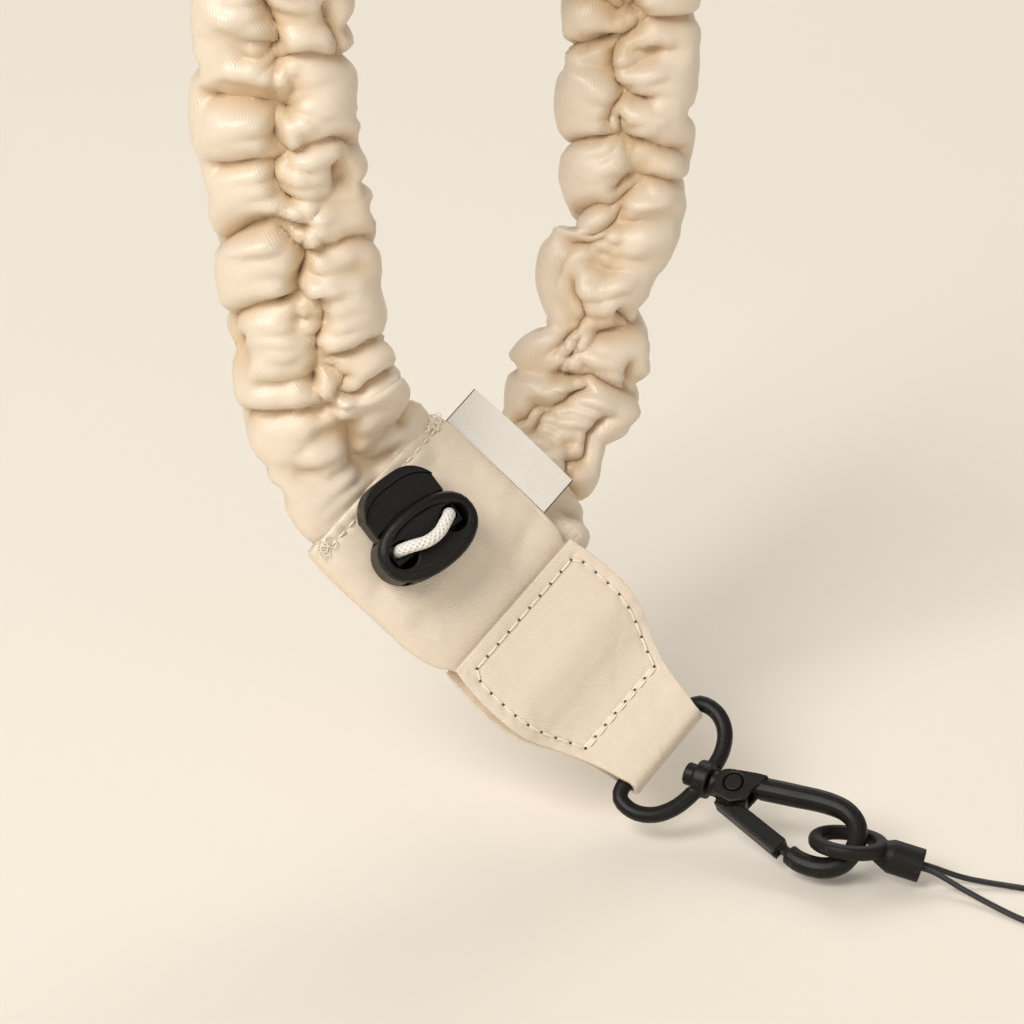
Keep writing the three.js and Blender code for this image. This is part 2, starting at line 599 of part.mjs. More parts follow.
function snapHook() {
  const line = new THREE.CatmullRomCurve3(BOW_LINE.map((p) => new THREE.Vector3(p.x, p.y, 0)), false, "centripetal");
  const bow = solidOf(wire(line, (t) => along(BOW_LINE, t).half, 40, upZ, false));
  const cheeks = solidOf(plate(outlineOf(CHEEK), CHEEK_THICKNESS));
  const shank = solidOf(rod("x", SHANK.radius, SHANK.headEnd - 0.4, 3.4));
  const head = solidOf(rod("x", SHANK.headRadius, SHANK.headStart, SHANK.headEnd));
  const neck = solidOf(rod("x", 2.5, COLLAR.halfLength + GAP, 3.3));
  const root = solidOf(block([3, -1.4, -2.5], [3.4, 2, 2.5]));
  const slot = KNUCKLE_THICKNESS / 2 + GAP;
  let hook = bow.add(cheeks);
  hook = hook.subtract(solidOf(rod("z", 3.1, -slot, slot, [RIVET.x, RIVET.y, 0])));
  hook = hook.subtract(solidOf(block([2.5, -6, -slot], [10.8, RIVET.y, slot])));
  hook = hook.add(shank).add(head).add(neck).add(root);
  const lugBlock = block([-0.5, -NOSE_LUG.halfWidth, -NOSE_LUG.halfThickness], [NOSE_LUG.length, NOSE_LUG.halfWidth, NOSE_LUG.halfThickness]);
  hook = hook.add(solidOf(lugBlock, noseMatrix));
  hook = hook.subtract(solidOf(rod("z", RIVET.radius + GAP, -4, 4, [RIVET.x, RIVET.y, 0])));
  for (const side of [-1, 1]) {
    const floor = side * (CHEEK_THICKNESS / 2 - RIVET.headHeight - 0.1);
    const [from, to] = [Math.min(floor, side * 4), Math.max(floor, side * 4)];
    hook = hook.subtract(solidOf(rod("z", RIVET.headRadius + GAP, from, to, [RIVET.x, RIVET.y, 0])));
  }
  return geometryOf(hook);
}
hookFrame.add(piece("snap_hook", snapHook(), blackMetal()));

// ---------- gate pin: the rivet, a turned stud with a head at each end ----------
function gatePin() {
  const half = CHEEK_THICKNESS / 2;
  const neck = half - RIVET.headHeight;
  const profile = [
    [0, -half],
    [RIVET.headRadius, -half],
    [RIVET.headRadius, -neck],
    [RIVET.radius, -neck],
    [RIVET.radius, neck],
    [RIVET.headRadius, neck],
    [RIVET.headRadius, half],
    [0, half],
  ].map(([radius, height]) => new THREE.Vector2(radius, height));
  return new THREE.LatheGeometry(profile, 20).rotateX(Math.PI / 2).translate(RIVET.x, RIVET.y, 0);
}
hookFrame.add(piece("gate_pin", gatePin(), blackMetal()));

// ---------- gate: a sprung lever on the rivet that closes on the bow's nose ----------
const gateFrame = new THREE.Group();
gateFrame.name = "gate_hinge";
gateFrame.position.set(RIVET.x, RIVET.y, 0);
hookFrame.add(gateFrame);

const LEVER = [
  { x: 4, y: -4.2 },
  { x: 18.6, y: -9.3 },
  { x: 19.6, y: -6.2 },
  { x: 9.9, y: -3 },
];
const KNUCKLE = [
  { x: 4.2, y: -4.2 },
  { x: 9.9, y: -3 },
  { x: 8.5, y: 0.9 },
  { x: 7.2, y: 2.6 },
  { x: 5.4, y: 2.6 },
  { x: 4, y: 1.4 },
];

function gateLever() {
  const lever = solidOf(plate(outlineOf(LEVER), GATE_THICKNESS));
  const knuckle = solidOf(plate(outlineOf(KNUCKLE), KNUCKLE_THICKNESS));
  let gate = lever;
  const noseReach = rod("x", NOSE.half + GAP, -4, GAP);
  const lugSlot = block([-1, -1.3, -NOSE_LUG.halfThickness - GAP], [NOSE_LUG.length + GAP, 1.3, NOSE_LUG.halfThickness + GAP]);
  for (const swing of [0, 0.25, 0.5, 0.75, 1].map((share) => share * GATE_SWING)) {
    const back = new THREE.Matrix4()
      .makeTranslation(RIVET.x, RIVET.y, 0)
      .multiply(new THREE.Matrix4().makeRotationZ(-radians(swing)))
      .multiply(new THREE.Matrix4().makeTranslation(-RIVET.x, -RIVET.y, 0));
    for (const [x, y] of [[0, -0.35], [0.35, -0.1], [0.25, -0.3]]) {
      const shifted = plate(outlineOf(CHEEK.map((p) => ({ x: p.x + x, y: p.y + y }))), 8);
      gate = gate.subtract(solidOf(shifted, back));
    }
    const noseThen = back.clone().multiply(noseMatrix);
    gate = gate.subtract(solidOf(noseReach, noseThen)).subtract(solidOf(lugSlot, noseThen));
  }
  gate = gate.add(knuckle);
  const bore = solidOf(rod("z", RIVET.radius + GAP, -4, 4, [RIVET.x, RIVET.y, 0]));
  const noseClear = block([-4, -4, -4], [GAP, 4, 4]);
  gate = gate.subtract(bore).subtract(solidOf(noseClear, noseMatrix));
  return geometryOf(gate).translate(-RIVET.x, -RIVET.y, 0);
}
gateFrame.add(piece("gate", gateLever(), blackMetal()));

// ---------- loop connector: a moulded loop through the bow, with a ferrule for the cord ----------
const linkFrame = new THREE.Group();
linkFrame.position.copy(LINK_CENTRE);
const alongLink = new THREE.Vector3(0.928, -0.371, 0);
const alongFerrule = FERRULE_MOUTH.clone().sub(LINK_CENTRE).normalize();
const ferruleEnd = FERRULE_MOUTH.distanceTo(LINK_CENTRE);
const acrossLink = new THREE.Vector3(0.371, 0.928, 0).multiplyScalar(Math.cos(LINK.tilt)).setZ(-Math.sin(LINK.tilt));
const upLink = new THREE.Vector3().crossVectors(alongLink, acrossLink).normalize();
strap.add(linkFrame);

function frameAlong(direction) {
  const side = new THREE.Vector3().crossVectors(upZ, direction).normalize();
  const up = new THREE.Vector3().crossVectors(direction, side);
  return new THREE.Matrix4().makeBasis(direction, side, up);
}
const ferruleMatrix = frameAlong(alongFerrule);

function loopConnector() {
  const rim = oval(LINK.halfLength, LINK.halfWidth, 24, 0.95).map((p) =>
    new THREE.Vector3().addScaledVector(alongLink, p.x).addScaledVector(acrossLink, p.y),
  );
  const hoop = solidOf(wire(new THREE.CatmullRomCurve3(rim, true), () => LINK.wire, 36, upLink, true));
  const profile = [
    [0, FERRULE.start - 1.4],
    [1.7, FERRULE.start - 1.4],
    [FERRULE.radius, FERRULE.start + 1.6],
    [FERRULE.radius, ferruleEnd],
    [0, ferruleEnd],
  ].map(([radius, height]) => new THREE.Vector2(radius, height));
  const barrel = new THREE.LatheGeometry(profile, 24).rotateZ(-Math.PI / 2);
  const bore = rod("x", FERRULE.bore, ferruleEnd - FERRULE.boreDepth, ferruleEnd + 1);
  const ferrule = solidOf(barrel, ferruleMatrix).subtract(solidOf(bore, ferruleMatrix));
  return geometryOf(hoop.add(ferrule));
}
linkFrame.add(piece("loop_connector", loopConnector(), blackPlastic()));

// ---------- phone cord: a thin cord loop with both ends in the ferrule, laid on the level ----------
const CORD_REST = 0.56;
const CORD_LOOP = [
  { x: 80.4, y: -26.6, z: 1.6 },
  { x: 90.7, y: -28.5, z: CORD_REST },
  { x: 102, y: -32, z: CORD_REST },
  { x: 112, y: -36.5, z: CORD_REST },
  { x: 119, y: -43.5, z: CORD_REST },
  { x: 118.6, y: -51, z: CORD_REST },
  { x: 111, y: -53.2, z: CORD_REST },
  { x: 100.5, y: -48.3, z: CORD_REST },
  { x: 89, y: -39.8, z: CORD_REST },
  { x: 80.4, y: -31.6, z: 1.5 },
];

function phoneCord() {
  const inBore = (side, depth) =>
    new THREE.Vector3(ferruleEnd - depth, side * 0.75, 0).applyMatrix4(ferruleMatrix).add(LINK_CENTRE);
  const points = [
    inBore(1, 5),
    inBore(1, 0),
    inBore(1, -2),
    ...CORD_LOOP.map((p) => new THREE.Vector3(p.x, p.y, p.z)),
    inBore(-1, -2),
    inBore(-1, 0),
    inBore(-1, 5),
  ];
  const path = new THREE.CatmullRomCurve3(points, false, "centripetal");
  const section = new THREE.Shape(oval(PHONE_CORD_RADIUS, PHONE_CORD_RADIUS, 8));
  return new THREE.ExtrudeGeometry(section, { steps: 60, bevelEnabled: false, extrudePath: path });
}
strap.add(piece("phone_cord", phoneCord(), blackCord()));

// The hang point comes to the origin: under the middle of the arch.
strap.position.set(
  -(ARCH.left[0] + ARCH.right[0]) / 2,
  -(ARCH.left[1] + ARCH.right[1]) / 2,
  -(ARCH.spring + ARCH.rise - ARCH.depth),
);

export default strap;
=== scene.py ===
import bpy
import numpy as np
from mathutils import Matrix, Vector


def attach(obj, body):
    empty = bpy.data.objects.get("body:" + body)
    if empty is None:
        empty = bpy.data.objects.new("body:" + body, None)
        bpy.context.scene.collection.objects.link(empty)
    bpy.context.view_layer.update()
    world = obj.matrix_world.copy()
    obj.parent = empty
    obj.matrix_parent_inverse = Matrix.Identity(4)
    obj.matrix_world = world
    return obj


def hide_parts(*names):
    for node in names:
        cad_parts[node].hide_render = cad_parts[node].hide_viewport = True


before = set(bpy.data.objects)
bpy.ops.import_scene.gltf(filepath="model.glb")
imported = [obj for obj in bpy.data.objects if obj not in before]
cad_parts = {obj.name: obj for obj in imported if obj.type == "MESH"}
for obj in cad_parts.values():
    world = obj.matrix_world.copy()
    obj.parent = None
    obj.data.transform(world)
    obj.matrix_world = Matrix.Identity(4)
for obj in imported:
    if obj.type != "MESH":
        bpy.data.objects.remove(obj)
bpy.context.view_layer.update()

# ---------- studio: a pale sweep of card, one large soft light from the left, and the camera ----------
# The card is the ground that the strap's hook and cord lie on, 188 mm under the point that the strap hangs from.
# The lights are soft boxes; the camera looks down at 22 degrees through a long lens.
GROUND = -0.188
CAMERA = {"at": (0.0093, -0.51135, 0.0678), "aim": (0.0093, -0.02925, -0.127), "lens": 102.3}
SOFT_BOXES = [
    # name, place, aim, width, height, watts, colour
    ("key_light", (-0.95, -1.1, 1.2), (0.0, 0.0, -0.12), 1.05, 1.05, 32.5, (1.0, 0.99, 0.97)),
    ("fill_light", (0.7, -1.35, 0.2), (0.0, 0.0, -0.12), 1.2, 1.0, 4.4, (1.0, 0.99, 0.98)),
    ("back_light", (0.2, 1.5, 1.3), (0.0, 0.1, -0.1), 1.6, 1.2, 17.0, (1.0, 0.99, 0.97)),
]
ROOM_COLOUR, ROOM_STRENGTH = (1.0, 0.97, 0.92, 1), 0.375
scene = bpy.context.scene
scene.view_settings.view_transform = "Standard"


def placed(name, data):
    """A new object for this data, in the scene, at the origin."""
    thing = bpy.data.objects.new(name, data)
    scene.collection.objects.link(thing)
    return thing


def aimed(thing, place, aim):
    """Puts a camera or light at a place and turns its front to the aim."""
    thing.location = place
    thing.rotation_euler = (Vector(aim) - Vector(place)).to_track_quat("-Z", "Y").to_euler()


camera = placed("camera", bpy.data.cameras.new("camera"))
aimed(camera, CAMERA["at"], CAMERA["aim"])
camera.data.lens, camera.data.sensor_width = CAMERA["lens"], 36.0
camera.data.clip_start, camera.data.clip_end = 0.01, 20.0
scene.camera = camera

for name, place, aim, width, height, watts, colour in SOFT_BOXES:
    lamp = bpy.data.lights.new(name, "AREA")
    lamp.shape, lamp.size, lamp.size_y = "RECTANGLE", width, height
    lamp.energy, lamp.color = watts, colour
    aimed(placed(name, lamp), place, aim)

scene.world = bpy.data.worlds.new("studio")
scene.world.use_nodes = True
room_light = scene.world.node_tree.nodes["Background"].inputs
room_light["Color"].default_value, room_light["Strength"].default_value = ROOM_COLOUR, ROOM_STRENGTH


def finish_of(name, colour, roughness, **settings):
    """A new shader with its colour, roughness and any other even settings on their own sockets."""
    material = bpy.data.materials.new(name)
    material.use_nodes = True
    shader = material.node_tree.nodes["Principled BSDF"]
    shader.inputs["Base Color"].default_value = (*colour, 1)
    shader.inputs["Roughness"].default_value = roughness
    for socket, value in settings.items():
        shader.inputs[socket.replace("_", " ")].default_value = value
    return material, material.node_tree, shader


def node(tree, kind, inputs=(), **settings):
    """A new node with its settings, and its inputs linked or set: pairs of a socket's name or number and its source."""
    made = tree.nodes.new("ShaderNode" + kind)
    for key, value in settings.items():
        setattr(made, key, value)
    for socket, source in inputs:
        if isinstance(source, bpy.types.NodeSocket):
            tree.links.new(source, made.inputs[socket])
        else:
            made.inputs[socket].default_value = source
    return made


def noise(tree, place, scale, detail, **more):
    """Cloudy noise by place; more holds its other inputs, such as Roughness."""
    inputs = [("Vector", place), ("Scale", scale), ("Detail", detail), *more.items()]
    return node(tree, "TexNoise", inputs).outputs["Fac"]


def raised(tree, height, strength, distance, under=None):
    """A surface normal tilted by a pattern's height, over another one when given."""
    inputs = [("Height", height), ("Strength", strength), ("Distance", distance)]
    return node(tree, "Bump", inputs + ([("Normal", under)] if under else [])).outputs["Normal"]


def object_place(tree):
    """Places in the piece's own frame, in metres."""
    return node(tree, "TexCoord").outputs["Object"]


def grid_mesh(name, grid, close_round=False, close_along=False, caps=False, wrap=None):
    """A mesh on a grid of points (rows, columns, 3): a face for each cell, closed round its columns or along its rows
    when asked, with a fan to each end row's middle for caps. wrap is a (rows + 1, columns + 1, 2) map for its UVs."""
    rows, columns = grid.shape[:2]
    step_rows = rows if close_along else rows - 1
    step_columns = columns if close_round else columns - 1
    i, j = (part.ravel() for part in np.meshgrid(np.arange(step_rows), np.arange(step_columns), indexing="ij"))
    below, right = (i + 1) % rows, (j + 1) % columns
    faces = np.stack([i * columns + j, i * columns + right, below * columns + right, below * columns + j], 1)
    points = grid.reshape(-1, 3)
    all_faces = faces.tolist()
    if caps:
        points = np.vstack([points, grid[0].mean(0), grid[-1].mean(0)])
        ring = np.arange(columns)
        after = (ring + 1) % columns
        last = (rows - 1) * columns
        all_faces += np.stack([np.full(columns, rows * columns), after, ring], 1).tolist()
        all_faces += np.stack([np.full(columns, rows * columns + 1), last + ring, last + after], 1).tolist()
    mesh = bpy.data.meshes.new(name)
    mesh.from_pydata(points.tolist(), [], all_faces)
    mesh.update()
    if wrap is not None:
        corners = np.stack([wrap[i, j], wrap[i, j + 1], wrap[i + 1, j + 1], wrap[i + 1, j]], 1).reshape(-1, 2)
        extra = np.zeros((len(mesh.loops) - len(corners), 2))
        mesh.uv_layers.new(name="cloth").data.foreach_set("uv", np.vstack([corners, extra]).ravel().astype(np.float32))
    mesh.polygons.foreach_set("use_smooth", np.ones(len(mesh.polygons), bool))
    return mesh


card_corners = [[(-4, -4, GROUND), (4, -4, GROUND)], [(-4, 4, GROUND), (4, 4, GROUND)]]
card = placed("card", grid_mesh("card", np.array(card_corners, float)))
card_finish, tree, shader = finish_of("card", (0.785, 0.72, 0.625), 0.9)
fibre = noise(tree, object_place(tree), 900.0, 3.0)
tree.links.new(raised(tree, fibre, 0.12, 0.0002), shader.inputs["Normal"])
card.data.materials.append(card_finish)

# ---------- phone cord: a thin black waxed cord, doubled into a loop ----------
# Both ends are set in the ferrule's bore. It leaves the ferrule forwards, drops to the ground and lies there in a
# flat loop that turns back to the ferrule.
# The spot on the ground that x, y and height count from here and on the strands, in mm from the hang point.
GROUND_SPOT = np.array([9.3, -29.25, -188.0])
CORD_WIDTH = 1.05
FERRULE_AT, LINK_AT = np.array([72.8, -26.5, 3.9]), np.array([59.93, -23.61, 7.0])
CORD_ROUTE = np.array([
    # x, y, height, in mm
    (80.4, -26.6, 1.6), (90.7, -28.5, 0.56), (102.0, -32.0, 0.56), (112.0, -36.5, 0.56), (119.0, -43.5, 0.56),
    (118.6, -51.0, 0.56), (111.0, -53.2, 0.56), (100.5, -48.3, 0.56), (89.0, -39.8, 0.56), (80.4, -31.6, 1.5),
])


def full_turn(count):
    """Even angles once round a circle, the last one short of the first."""
    return np.linspace(0, 2 * np.pi, count, endpoint=False)


def unit(vectors):
    """Each vector over its own length."""
    return vectors / np.maximum(np.linalg.norm(vectors, axis=-1, keepdims=True), 1e-12)


def curve_through(points, count):
    """Evenly spaced points on the centripetal Catmull-Rom curve through the given rows. Each stretch blends four rows
    by their knots, where a knot's step is the square root of the distance. Any columns after x, y, z go with them."""
    rows = np.asarray(points, float)
    rows = np.vstack([2 * rows[0] - rows[1], rows, 2 * rows[-1] - rows[-2]])
    stretches = len(rows) - 3
    fine = np.linspace(0, stretches, stretches * 40 + 1)
    s = np.minimum(fine.astype(int), stretches - 1)
    p = [rows[s + k] for k in range(4)]
    t = [np.zeros(len(s))]
    for k in range(3):
        t.append(t[-1] + np.maximum(np.linalg.norm((p[k + 1] - p[k])[:, :3], axis=1), 1e-9) ** 0.5)
    at = t[1] + (fine - s) * (t[2] - t[1])

    def between(a, b, ta, tb):
        return a + (b - a) * ((at - ta) / (tb - ta))[:, None]

    a1, a2, a3 = (between(p[k], p[k + 1], t[k], t[k + 1]) for k in range(3))
    b1, b2 = between(a1, a2, t[0], t[2]), between(a2, a3, t[1], t[3])
    line = between(b1, b2, t[1], t[2])
    run = np.concatenate([[0], np.cumsum(np.linalg.norm(np.diff(line[:, :3], axis=0), axis=1))])
    even = np.linspace(0, run[-1], count)
    return np.stack([np.interp(even, run, line[:, k]) for k in range(line.shape[1])], 1), run[-1]


def tube_along(line, radius, sides, first=(0, 0, 1)):
    """A grid of rings along a line. Each ring stands square to the line, and starts from the part of the direction
    first that is square to the line there."""
    ahead = unit(np.gradient(line, axis=0))
    side = unit(np.asarray(first, float) - ahead * (ahead @ np.asarray(first, float))[:, None])
    other = np.cross(ahead, side)
    turn = full_turn(sides)[None, :, None]
    ring = side[:, None] * np.cos(turn) + other[:, None] * np.sin(turn)
    return line[:, None] + ring * radius


def waves(tree, place, scale, distortion, across="X", more=()):
    """Even bands across one direction of the place, a little bent by their distortion."""
    inputs = [("Vector", place), ("Scale", scale), ("Distortion", distortion), *more]
    return node(tree, "TexWave", inputs, bands_direction=across).outputs["Fac"]


def cloth_place(tree, turn=0.0, scale=1.0):
    """Places in mm over the piece's cloth map, turned and scaled when asked."""
    place = node(tree, "UVMap", uv_map="cloth").outputs["UV"]
    if not turn:
        return place
    inputs = [("Vector", place), ("Rotation", (0, 0, turn)), ("Scale", (scale, scale, 1))]
    return node(tree, "Mapping", inputs).outputs["Vector"]


def black_cord_finish():
    """Waxed black thread: fine spiral ribs by the UV map, with a soft satin gloss."""
    material, tree, shader = finish_of("black_cord", (0.012, 0.011, 0.011), 0.42)
    ribs = waves(tree, cloth_place(tree, 0.6), 1.1, 0.4)
    tree.links.new(raised(tree, ribs, 0.5, 0.0001), shader.inputs["Normal"])
    return material


def wrap_of(rows, columns, width, length):
    """A UV map in mm: round the piece by its width and along it by its length."""
    along, round_ = np.meshgrid(np.linspace(0, length, rows), np.linspace(0, width, columns), indexing="ij")
    return np.stack([round_, along], -1)


towards_mouth = unit(FERRULE_AT - LINK_AT)
ferrule_side = unit(np.cross([0, 0, 1], towards_mouth))


def in_bore(side, depth):
    """A point in the ferrule's bore, at this depth behind its mouth, on one side of its middle."""
    return FERRULE_AT - towards_mouth * depth + ferrule_side * 0.75 * side


one_end, other_end = [in_bore(1, d) for d in (5, 0, -2)], [in_bore(-1, d) for d in (-2, 0, 5)]
cord_rows = np.vstack([one_end, CORD_ROUTE, other_end])
cord_line, cord_length = curve_through(cord_rows, 260)
cord_line = (cord_line + GROUND_SPOT) / 1000
cord_grid = tube_along(cord_line, CORD_WIDTH / 2000, 12)
cord_wrap = wrap_of(261, 13, 3.3, cord_length)
phone_cord = placed("cord_loop", grid_mesh("cord_loop", cord_grid, close_round=True, caps=True, wrap=cord_wrap))
phone_cord.data.materials.append(black_cord_finish())
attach(phone_cord, "hook")
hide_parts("phone_cord")

# ---------- ruched sleeve: a long satin tube, gathered up on the drawcord ----------
# It is sewn down its middle into two channels, so it puffs out in two columns with a line of tight tucks between them.
# Its front end is sewn flat into the panel's mouth and its back end flat under the tab; the arch goes over the wrist.
TAB_PLACE = np.array([36.2, -30.85, -172.6])  # the middle of the fold over the ring's bar, in mm from the hang point
ALONG_TAB = np.array([0.7289, -0.16308, -0.66492])
ACROSS_TAB = np.array([0.63586, 0.52125, 0.5692])
OUT_OF_TAB = np.cross(ALONG_TAB, ACROSS_TAB)
TAB_AXES = np.stack([ALONG_TAB, ACROSS_TAB, OUT_OF_TAB])
FRONT_END = [
    # x, y, z on the tab, half width, half depth, swing of its width from the tab's (0) to level (1)
    (-66.5, -0.8, 2.5, 15.0, 2.5, 0), (-71.0, -1.0, 2.7, 15.4, 2.8, 0),
]
FRONT_STRAND = [
    # x, y, height over the ground, half width, half depth, swing
    (-28.8, 7.0, 69.2, 15.5, 4.8, 0.25), (-31.7, 6.5, 75.2, 15.0, 7.0, 0.6), (-33.9, 6.5, 79.9, 14.8, 8.5, 0.85),
    (-35.5, 6.5, 87.1, 14.8, 9.0, 1), (-36.6, 7.0, 93.8, 14.3, 9.0, 1), (-37.1, 7.0, 101.2, 14.3, 9.0, 1),
    (-37.4, 7.5, 109.3, 14.5, 9.0, 1), (-38.4, 8.0, 116.4, 14.3, 9.0, 1), (-39.4, 8.0, 122.6, 14.0, 9.0, 1),
    (-40.9, 8.0, 131.5, 14.3, 9.0, 1), (-40.8, 8.5, 138.4, 14.0, 9.0, 1), (-40.6, 8.5, 145.3, 14.0, 9.0, 1),
]
ARCH_FOOT = {"front": (-40.9, 8.5), "back": (22.3, 50.0), "spring": 158.0, "rise": 39.0, "half": 13.5, "depth": 9.0}
BACK_STRAND = [
    (21.9, 50.0, 142.5, 12.8, 9.0, 1), (21.9, 50.0, 133.2, 12.8, 9.0, 1), (21.2, 49.0, 124.0, 12.8, 9.0, 1),
    (21.5, 48.0, 114.7, 12.8, 9.0, 1), (20.8, 47.0, 105.3, 12.3, 9.0, 1), (20.3, 45.5, 97.9, 11.8, 9.0, 1),
    (16.9, 43.8, 90.0, 11.8, 9.0, 1), (14.6, 42.4, 80.5, 12.0, 9.0, 1), (12.5, 41.2, 74.5, 12.8, 9.0, 1),
    (11.2, 40.0, 68.8, 13.0, 9.0, 1), (8.8, 37.4, 62.8, 12.5, 8.5, 1), (5.8, 32.7, 56.5, 12.0, 8.2, 1),
    (2.8, 27.6, 52.5, 12.0, 7.8, 0.9),
]
BACK_END = [
    (-44.6, 16.0, -10.3, 12.3, 6.4, 0.7), (-42.2, 10.5, -6.8, 13.0, 4.6, 0.4), (-40.2, 5.5, -3.5, 14.2, 2.2, 0.12),
    (-38.5, 2.8, -1.55, 14.8, 1.15, 0), (-33.0, 1.0, -1.35, 14.8, 1.15, 0), (-25.0, 0.0, -1.35, 14.3, 1.15, 0),
]


def on_tab(points):
    """Places in the tab's own frame, in mm, as places in mm from the hang point: each number along its own axis."""
    return TAB_PLACE + np.asarray(points, float) @ TAB_AXES


def sleeve_rows():
    """Rows of x, y, z, width direction, half width and half depth along the sleeve, from the panel to the tab."""
    level = np.array([1.0, 0, 0])

    def carried(row, place):
        return [*place, *unit(ACROSS_TAB * (1 - row[5]) + level * row[5]), *row[3:5]]

    def on_ends(rows):
        return [carried(row, on_tab(row[:3])) for row in rows]

    def on_strand(rows):
        return [carried(row, np.array(row[:3]) + GROUND_SPOT) for row in rows]

    front, back = (np.array([*ARCH_FOOT[foot], ARCH_FOOT["spring"]]) + GROUND_SPOT for foot in ("front", "back"))
    middle, outward = (front + back) / 2, (front - back) / 2
    over_wrist = unit(np.cross([0, 0, 1], outward))
    arch = []
    for angle in np.linspace(0, np.pi, 9):
        place = middle + outward * np.cos(angle) + np.array([0, 0, ARCH_FOOT["rise"] * np.sin(angle)])
        width = unit(level * (1 - np.sin(angle)) + over_wrist * np.sin(angle))
        arch.append([*place, *width, ARCH_FOOT["half"], ARCH_FOOT["depth"]])
    return on_ends(FRONT_END) + on_strand(FRONT_STRAND) + arch + on_strand(BACK_STRAND) + on_ends(BACK_END)


